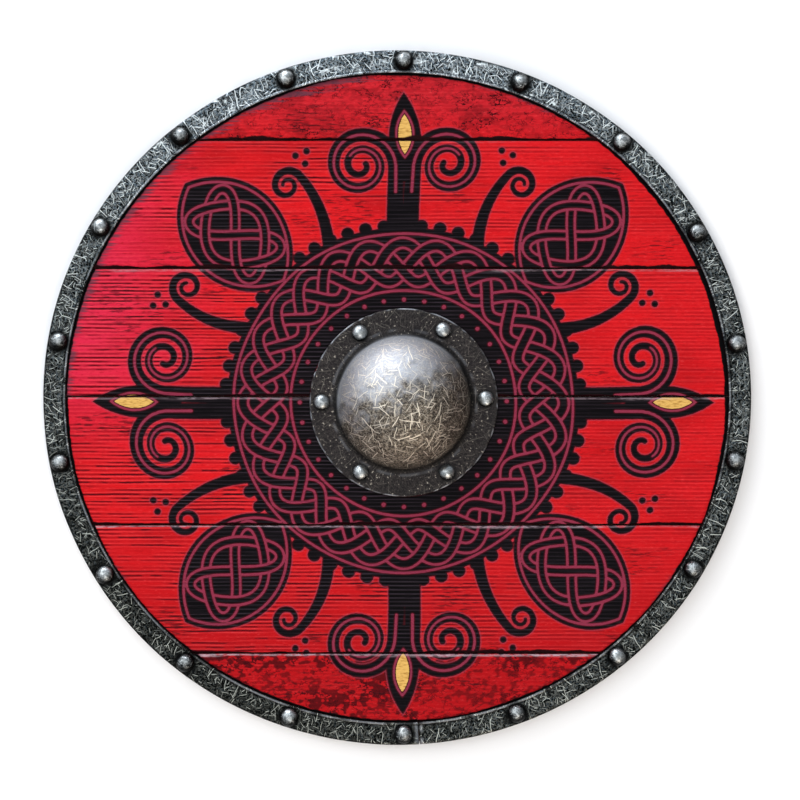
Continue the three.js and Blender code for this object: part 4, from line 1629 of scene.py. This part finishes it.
@dataclass
class Boss:
    """The hollow dome with its flat flange, slightly dented and nicked at its edge."""

    name: str = "boss"
    sheet: float = 1.6
    radius: float = 81.0
    dome_radius: float = 58.0
    dome_height: float = 48.0
    fillet: float = 5.0
    back_z: float = 13.1
    crown_hole: float = 0.02
    dent_depth: float = 0.5
    nick_depth: float = 0.9
    sides: int = 160

    def _dome(self, depth: float, rings: int) -> Array:
        """Draw the dome's line from the flange up to the axis.

        Args:
            depth: How far the line lies under the outside.
            rings: How many steps it takes up to the crown.

        Returns:
            Rows of radius and height.
        """
        sphere = (self.dome_radius**2 + self.dome_height**2) / (2 * self.dome_height)
        centre = self.sheet + self.dome_height - sphere
        fillet_z = self.sheet + self.fillet
        fillet_r = math.sqrt((sphere + self.fillet) ** 2 - (fillet_z - centre) ** 2)
        meet = math.atan2(fillet_r, fillet_z - centre)
        bend = np.linspace(0.0, meet, 7)
        bow = self.fillet + depth
        lower = np.stack([fillet_r - bow * np.sin(bend), fillet_z - bow * np.cos(bend)], 1)
        rise = np.linspace(meet, 0.0, rings + 1)[1:]
        upper = np.stack([(sphere - depth) * np.sin(rise), centre + (sphere - depth) * np.cos(rise)], 1)
        return np.concatenate([lower, upper])

    def _profile(self) -> Array:
        """Draw the whole profile: down the inside, round the flange's edge and up the outside.

        Returns:
            Rows of radius and height above the flange's back.
        """
        outer, inner = self._dome(0.0, 34), self._dome(self.sheet, 20)[::-1]
        start = float(outer[0][0])
        flange = [(r, self.sheet) for r in np.linspace(self.radius - 1.4, start, 16)[:-1]]
        edge = [
            (self.radius - 0.3, 0.0),
            (self.radius, 0.4),
            (self.radius, 0.9),
            (self.radius - 0.5, self.sheet - 0.1),
        ]
        profile = np.concatenate([inner, np.array(edge + flange), outer])
        profile[0, 0] = profile[-1, 0] = self.crown_hole
        return profile

    def _dented(self, x: Array, y: Array, z: Array, outside: Array, noise: PlaneNoise) -> Array:
        """Dent the dome, nick the flange's edge and set the boss in its place.

        Args:
            x: The points' x from the boss's axis.
            y: The points' y.
            z: Their height above the flange's back.
            outside: Which points are on the outer skin.
            noise: What places the dents and nicks.

        Returns:
            The points in the shield's frame.
        """
        r, a = np.hypot(x, y), np.arctan2(y, x)
        dent = noise.at(x, y, 13, 13) * 0.55 + noise.at(x + 60, y, 5, 5) * 0.45
        edge = smooth(self.radius - 3, self.radius, r)
        nick = smooth(0.72, 0.95, noise.at(a * self.radius, 0 * a, 5, 5)) * edge
        dome = smooth(self.dome_radius + 2, self.dome_radius - 6, r)
        sink = np.where(outside, self.dent_depth * smooth(0.5, 0.95, dent), 0.0) * (0.35 + 0.65 * dome)
        nicked = 1 - nick * self.nick_depth / self.radius
        inward = 1 - 0.006 * sink * dome
        points = np.stack([x * nicked * inward, y * nicked * inward, z - sink * 0.5], 1)
        return points + (SHIELD.boss_x, SHIELD.boss_y, self.back_z)

    def _rubbed_and_highlit(self, x: Array, y: Array, up: Array, patchy: Array, noise: PlaneNoise) -> Array:
        """Find where the boss is rubbed smooth and painted bright as a highlight: the dome's upper left, the
        flange's edge and a thin ring round the dome's foot.

        Args:
            x: The points' x from the boss's axis.
            y: The points' y.
            up: How far up the dome they lie, from 0 to 1.
            patchy: Patchy noise.
            noise: What breaks the rubbed places up.

        Returns:
            How rubbed and highlit each point is, from 0 to 1.
        """
        r, a = np.hypot(x, y), np.arctan2(y, x)
        # painted highlight: the dome's upper left, towards the light, is painted bright
        to_upper_left = (0.36 * -x + 0.93 * y) / self.dome_radius
        shoulder = smooth(self.dome_radius + 1, self.dome_radius - 2, r)
        rub_and_highlight = shoulder * smooth(-0.14, 0.5, to_upper_left + 0.8 * (patchy - 0.5)) * 0.88
        # a bright line along the flange's edge: rubbed and painted as a highlight
        edge = smooth(self.radius - 1.3, self.radius - 0.4, r)
        edge = edge * smooth(0.4, 0.7, noise.at(a * self.radius, 0 * a, 4, 4))
        rub_and_highlight = np.maximum(rub_and_highlight, 0.7 * edge)
        # a painted highlight ring round the dome's foot
        ring = smooth(1.6, 0.4, np.abs(r - self.dome_radius - 4.6))
        ring = ring * smooth(0.35, 0.6, noise.at(a * 62, 0 * a, 7, 7))
        return np.maximum(rub_and_highlight, 0.14 * ring * (up < 0.1))

    def _grimed_and_shaded(self, x: Array, y: Array, z: Array, patchy: Array, noise: PlaneNoise) -> Array:
        """Find the grime and painted shade at the dome's foot, the painted shade on its two flanks, and the
        grime and painted shadow round the rivets.

        Args:
            x: The points' x from the boss's axis.
            y: The points' y.
            z: Their height above the flange's back.
            patchy: Patchy noise.
            noise: What makes the grime and painted shade uneven.

        Returns:
            How much grime and painted shade there is at each point, from 0 to 1.
        """
        r, a = np.hypot(x, y), np.arctan2(y, x)
        # grime and painted shade in the concave fillet at the dome's foot
        foot = smooth(self.dome_radius + 5, self.dome_radius + 1, r) * smooth(6.0, 1.0, z - self.sheet)
        grime_and_shade = 0.9 * foot * (0.55 + 0.45 * noise.at(a * self.dome_radius, r, 12, 4))
        dome = smooth(self.dome_radius + 2, self.dome_radius - 6, r)
        # painted shade: the dome's right and left flanks are darkened
        right = 0.5 * smooth(0.35, 0.95, (0.97 * x + 0.26 * y) / self.dome_radius)
        left = 0.42 * smooth(0.6, 0.98, -x / self.dome_radius)
        grime_and_shade = np.maximum(grime_and_shade, dome * (0.7 + 0.3 * patchy) * np.maximum(right, left))
        # grime and painted shadow round the boss's rivets
        for rivet in BOSS_RIVETS:
            rivet_x, rivet_y = centre_of(rivet)
            off = np.hypot(x + SHIELD.boss_x - rivet_x, y + SHIELD.boss_y - rivet_y)
            grime_and_shade = np.maximum(grime_and_shade, 0.8 * smooth(9.5, 6.8, off) * (z > 1))
        return grime_and_shade

    def build(self, iron: bpy.types.Material) -> bpy.types.Object:
        """Make the boss.

        Args:
            iron: Its material.

        Returns:
            The boss.
        """
        profile, noise = self._profile(), PlaneNoise(77)
        shell = turned_shell(profile, self.sides)
        steps = np.concatenate([[0.0], np.cumsum(np.hypot(*(profile[1:] - profile[:-1]).T))])
        from_crown = np.repeat(steps[-1] - steps, self.sides)
        x, y, z = shell.points.T
        r, a = np.hypot(x, y), np.arctan2(y, x)
        outside = np.arange(len(x)) >= (len(profile) // 3) * self.sides
        up = np.clip((z - self.sheet) / self.dome_height, 0, 1)
        patchy = noise.at(x, y, 9, 9) * 0.5 + noise.at(x, y, 3.5, 3.5) * 0.5
        worn = smooth(self.dome_radius + 2, self.dome_radius - 6, r) * smooth(0.0, 0.12, up)
        numbers = {
            "unrolled": np.stack([from_crown * np.cos(a), from_crown * np.sin(a), 0 * a], 1),
            "rub_and_highlight": self._rubbed_and_highlit(x, y, up, patchy, noise),
            "worn": worn * (0.75 + 0.25 * smooth(0.3, 0.7, noise.at(x, y, 16, 16))),
            "grime_and_shade": self._grimed_and_shaded(x, y, z, patchy, noise),
        }
        points = self._dented(x, y, z, outside, noise)
        return Shell(points, shell.faces, numbers).make(f"{self.name}_dressed", [iron])


@dataclass
class Rivet:
    """A domed head on a shank, with its tail spread behind.

    The tail is rows of radius and height. Grime and painted shade reach up the head, higher on its lower
    side, to grime_and_shade_reach, a share of its height; above them the crown is rubbed bright and
    painted with a highlight.
    """

    name: str
    head_radius: float
    head_height: float
    seat: float
    tail: tuple[tuple[float, float], ...]
    grime_and_shade_reach: float
    worn: float
    seed: int
    shank_radius: float = 2.5
    crown_hole: float = 0.02
    sides: int = 32

    def _profile(self) -> Array:
        """Draw the rivet's profile from its tail's end up to its crown.

        Returns:
            Rows of radius and height.
        """
        sphere = (self.head_radius**2 + self.head_height**2) / (2 * self.head_height)
        edge = math.acos((sphere - self.head_height) / sphere)
        bend = np.linspace(edge, 0.0, 11)
        heights = self.seat + self.head_height - sphere * (1 - np.cos(bend))
        head = np.stack([sphere * np.sin(bend), heights], 1)
        neck = [
            (self.shank_radius, self.seat - 0.1),
            (self.head_radius - 0.7, self.seat - 0.25),
            (self.head_radius, self.seat + 0.1),
        ]
        profile = np.concatenate([np.array(self.tail), np.array(neck), head[1:]])
        profile[0, 0] = profile[-1, 0] = self.crown_hole
        return profile

    def build(self, iron: bpy.types.Material) -> bpy.types.Object:
        """Make the rivet where its solid is, leaning a little and flattened by the hammer.

        Args:
            iron: Its material.

        Returns:
            The rivet.
        """
        shell = turned_shell(self._profile(), self.sides)
        x, y, z = shell.points.T
        rng, noise = np.random.default_rng(self.seed), PlaneNoise(self.seed)
        lean = rng.uniform(-0.35, 0.35, 2)
        high = np.clip((z - self.seat) / self.head_height, 0, 1)
        flat = smooth(0.4, 0.9, noise.at(x, y, 4, 4)) * 0.35 * high
        middle_x, middle_y = centre_of(self.name)
        points = np.stack([x + lean[0] * high + middle_x, y + lean[1] * high + middle_y, z - flat], 1)
        spread = 1.0 + 0.6 * (1 - high)
        turn = float(rng.uniform(0, 40))
        # painted shade reaches higher on the lower side, under a crown painted bright as a highlight
        ragged = high + 0.3 * (noise.at(x + 9, y, 3.1, 3.1) - 0.5) + 0.42 * y / self.head_radius
        head = z > self.seat - 1
        numbers = {
            "unrolled": np.stack([x * spread + turn, y * spread + turn, 0 * x], 1),
            "grime_and_shade": 0.96 * smooth(self.grime_and_shade_reach, self.grime_and_shade_reach - 0.28, ragged) * head,
            "rub_and_highlight": 0.95 * smooth(self.grime_and_shade_reach, self.grime_and_shade_reach + 0.3, ragged),
            "worn": self.worn + 0 * x,
        }
        return Shell(points, shell.faces, numbers).make(f"{self.name}_dressed", [iron])


@dataclass
class Grip:
    """The wooden bar across the hand hole: flat laps at its ends, rounded and thicker for the hand."""

    name: str = "grip"
    half_length: float = 84.0
    lap_width: float = 14.0
    lap_depth: float = 6.0
    stations: int = 72
    around: int = 28

    def _size(self, x: Array) -> tuple[Array, Array, Array]:
        """Size the bar's section along its length.

        Args:
            x: The stations' x from the boss's middle.

        Returns:
            The half width, the depth and the corners' rounding at each station.
        """
        off = np.abs(x)
        to_hand = smooth(50.5, 34.0, off)
        depth = self.lap_depth + 2.4 * smooth(50.8, 47.0, off) + 6.3 * smooth(47.0, 8.0, off)
        return self.lap_width - 1.5 * to_hand, depth, 0.7 + 6.0 * to_hand

    def build(self, wood: bpy.types.Material) -> bpy.types.Object:
        """Make the grip.

        Args:
            wood: Its material.

        Returns:
            The grip.
        """
        x = self.half_length * np.linspace(-1, 1, self.stations)
        width, depth, rounding = (v[:, None] for v in self._size(x))
        turn = (np.arange(self.around) + 0.5) * TAU / self.around
        cos, sin = np.cos(turn)[None, :], np.sin(turn)[None, :]
        power = 2.0 / (2.0 + self.lap_width / rounding)
        y = width * np.sign(cos) * np.abs(cos) ** power
        z = depth * (0.5 + 0.5 * np.sign(sin) * np.abs(sin) ** power)
        along = np.broadcast_to(x[:, None], y.shape)
        middle = (SHIELD.boss_x, SHIELD.boss_y, SHIELD.board_back)
        points = np.stack([along, y, z], 2).reshape(-1, 3) + middle
        rows, columns = y.shape
        faces = [face[::-1] for face in grid_faces(rows, columns, wrap=True)] + end_caps(rows, columns)
        piece = Shell(points, faces).make(f"{self.name}_dressed", [wood])
        shade_edges(piece, 60)
        return piece


# ---------------------------------------------------------------- studio


@dataclass(frozen=True)
class SoftLight:
    """A square soft light: its place and width in metres, its power in watts and its colour."""

    name: str
    place: tuple[float, float, float]
    size: float
    power: float
    colour: str = "#FFFFFF"

    def hang(self) -> None:
        """Hang the light so that it looks at the shield."""
        data = bpy.data.lights.new(self.name, "AREA")
        data.size, data.energy, data.color = self.size, self.power, linear(self.colour)[:3]
        lamp = bpy.data.objects.new(self.name, data)
        lamp.location = self.place
        lamp.rotation_euler = (-Vector(self.place)).to_track_quat("-Z", "Y").to_euler()
        bpy.context.collection.objects.link(lamp)


@dataclass
class Studio:
    """A pale floor, soft lights and the camera straight above. Its sizes are in mm."""

    view_width: float = 687.8
    lens: float = 100.0
    sensor: float = 36.0
    face_height: float = 14.6
    aim_x: float = 2.4
    aim_y: float = -2.06
    floor_half: float = 12000.0
    lights: tuple[SoftLight, ...] = (
        SoftLight("softbox_top", (-0.70, 2.0, 0.54), 1.6, 47.0, "#F4F8FF"),
        SoftLight("panel_left", (-1.7, 1.1, 2.0), 1.8, 22.0),
        SoftLight("panel_below", (0.25, -1.85, 2.0), 1.8, 25.0),
        SoftLight("panel_overhead", (0.0, 0.0, 3.2), 3.0, 26.0),
        SoftLight("softbox_warm_fill", (0.5, -1.9, 1.2), 1.4, 14.0, "#FFE6CC"),
    )

    def _floor(self) -> None:
        """Lay the floor, a matt card whose white varies a little so that it doesn't look flat."""
        s = Shade("matt_white_studio_card")
        tone = s.add(Step.NOISE, s.place((400, 400, 400)), 2.0)
        colour = s.add(Step.BLEND, s.add(Step.EASE, tone, 0.3, 0.7), "#F6F6F6", "#F2F2F2")
        card = s.finish(Base_Color=colour, Roughness=0.85)
        signs = ((-1, -1), (1, -1), (1, 1), (-1, 1))
        corners = [(x * self.floor_half, y * self.floor_half, 0.0) for x, y in signs]
        Shell(np.array(corners), [(0, 1, 2, 3)]).make("floor", [card])

    def _world(self) -> None:
        """Fill the room with soft light that is brighter towards the shield's top."""
        world = bpy.data.worlds.new("soft_room")
        world.use_nodes = True
        tree = world.node_tree
        tree.nodes.clear()
        way = node(tree, "ShaderNodeTexCoord").outputs["Generated"]
        toward = node(tree, "ShaderNodeVectorMath", {0: way, 1: (-0.55, 0.83, 0.1)}, operation="DOT_PRODUCT")
        inputs = {"Value": toward.outputs["Value"], "From Min": -0.8, "From Max": 0.9}
        share = node(tree, "ShaderNodeMapRange", inputs).outputs[0]
        inputs = {0: share, 6: linear("#6A625A"), 7: linear("#DCE6F2")}
        colour = node(tree, "ShaderNodeMix", inputs, data_type="RGBA").outputs[2]
        light = node(tree, "ShaderNodeBackground", {"Color": colour, "Strength": 0.95})
        node(tree, "ShaderNodeOutputWorld", {"Surface": light.outputs[0]})
        bpy.context.scene.world = world

    def _camera(self) -> None:
        """Hang the camera straight above, so far up that the view is as wide as view_width."""
        data = bpy.data.cameras.new("camera")
        data.lens, data.sensor_width = self.lens, self.sensor
        camera = bpy.data.objects.new("camera", data)
        distance = self.view_width * self.lens / self.sensor
        camera.location = [v * METRES for v in (self.aim_x, self.aim_y, self.face_height + distance)]
        bpy.context.collection.objects.link(camera)
        bpy.context.scene.camera = camera
        bpy.context.scene.view_settings.view_transform = "Standard"

    def build(self) -> None:
        """Set up the camera, the floor and the lights."""
        self._camera()
        self._floor()
        self._world()
        for light in self.lights:
            light.hang()


# ---------------------------------------------------------------- assembly


@dataclass
class Assembly:
    """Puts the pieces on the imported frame."""

    rim_tail: tuple[tuple[float, float], ...] = ((0.02, 0.05), (3.2, 0.05), (3.8, 0.28), (2.5, 0.5))
    boss_tail: tuple[tuple[float, float], ...] = (
        (0.02, 0.4),
        (3.0, 0.45),
        (4.1, 0.95),
        (4.3, 1.5),
        (2.5, 1.7),
    )

    def set_piece(self, piece: bpy.types.Object, solid: str) -> None:
        """Let a piece stand for its solid.

        Args:
            piece: The dressed piece.
            solid: The solid's node name.
        """
        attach(piece, "root")
        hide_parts(solid)
        LOG.info("%s: %d faces", piece.name, len(piece.data.polygons))

    def boards(self) -> None:
        """Build the six boards. The bottom and top ones are stippled, the top one more faintly."""
        paint, stain = OilPaintOnPine().material(), OiledPine().material()
        below, above = (None, *JOINTS), (*JOINTS, None)
        for k, name in enumerate(BOARDS):
            grain = Grain.STIPPLED if name in (BOARDS[0], BOARDS[-1]) else Grain.BRUSHED
            mottling = 0.4 if name == BOARDS[-1] else 1.0
            board = Board(name, below[k], above[k], grain, seed=11 + 7 * k, mottling=mottling)
            self.set_piece(board.build(paint, stain), name)

    def band(self) -> None:
        """Build the rim band, whose longest scratches run mostly across it."""
        nets = (
            ScratchNet(9.0, 0.6, 0.4, TAU / 4, 1.4),
            ScratchNet(5.0, 0.5, 0.5, TAU / 4, 2.6),
            ScratchNet(3.4, 0.42, 0.5),
            ScratchNet(13.0, 0.7, 0.35, TAU / 4, 1.0),
        )
        iron = BlackenedIron("blackened_scratched_band_iron", nets=nets)
        self.set_piece(RimBand().build(iron.material()), "rim_band")

    def boss(self) -> None:
        """Build the boss: warmer iron than the band's, with a dome rubbed bright and painted with a
        highlight, and a black flange.
        """
        iron = BlackenedIron(
            "spun_iron_dome_rubbed_and_highlit",
            black="#1C191A",
            film="#2D2828",
            worn_black="#3A342E",
            worn_film="#73695C",
            bright="#E5DCCB",
            worn_bright="#E5DCCB",
            crackle=2.6,
            film_from=0.42,
            film_band=0.2,
            web=0.5,
            calm=0.9,
            dull=0.88,
            dots=0.42,
            blaze=0.0,
            spread=0.0,
            nets=(ScratchNet(13.0, 0.8, 0.6), ScratchNet(8.5, 0.65, 0.7), ScratchNet(6.0, 0.55, 0.7)),
            metallic=0.75,
            roughness=0.63,
            bright_roughness=0.57,
        )
        self.set_piece(Boss().build(iron.material()), "boss")

    def rivets(self) -> None:
        """Build the rivets: the band's with grime and painted shade to near their crowns under a painted
        highlight, the boss's scratched bright.
        """
        iron = BlackenedIron(
            "forged_rivet_iron",
            worn_black="#24282A",
            worn_film="#505556",
            bright="#D4D8D8",
            worn_bright="#D4D8D8",
            rubbed_and_highlight="#BCC1C1",
            web=0.35,
            calm=0.0,
            blaze=0.0,
            pits=0.6,
            spread=0.0,
            nets=(ScratchNet(4.5, 0.5, 0.6), ScratchNet(3.0, 0.35, 0.6)),
            roughness=0.45,
            bright_roughness=0.36,
        ).material()
        for k, name in enumerate(RIM_RIVETS):
            reach = 0.72 + 0.08 * math.sin(2.4 * k)
            rivet = Rivet(
                name,
                head_radius=8.1,
                head_height=6.3,
                seat=14.9,
                tail=self.rim_tail,
                grime_and_shade_reach=reach,
                worn=0.6,
                seed=200 + k,
            )
            self.set_piece(rivet.build(iron), name)
        for k, name in enumerate(BOSS_RIVETS):
            rivet = Rivet(
                name,
                head_radius=7.0,
                head_height=4.6,
                seat=15.0,
                tail=self.boss_tail,
                grime_and_shade_reach=0.2,
                worn=1.0,
                seed=300 + k,
            )
            self.set_piece(rivet.build(iron), name)

    def grip(self) -> None:
        """Build the grip of ash, a paler, harder wood than the boards', under the same oil."""
        ash = OiledPine("oiled_ash", pale="#8A5F38", dark="#5B3A20", pore="#2C1A0F", roughness=0.5)
        self.set_piece(Grip().build(ash.material()), "grip")


def main() -> None:
    """Build the scene and note its size."""
    logging.basicConfig(level=logging.INFO, format="%(message)s")
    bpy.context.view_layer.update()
    Studio().build()
    assembly = Assembly()
    assembly.boards()
    assembly.band()
    assembly.boss()
    assembly.rivets()
    assembly.grip()


if __name__ == "__main__":
    main()
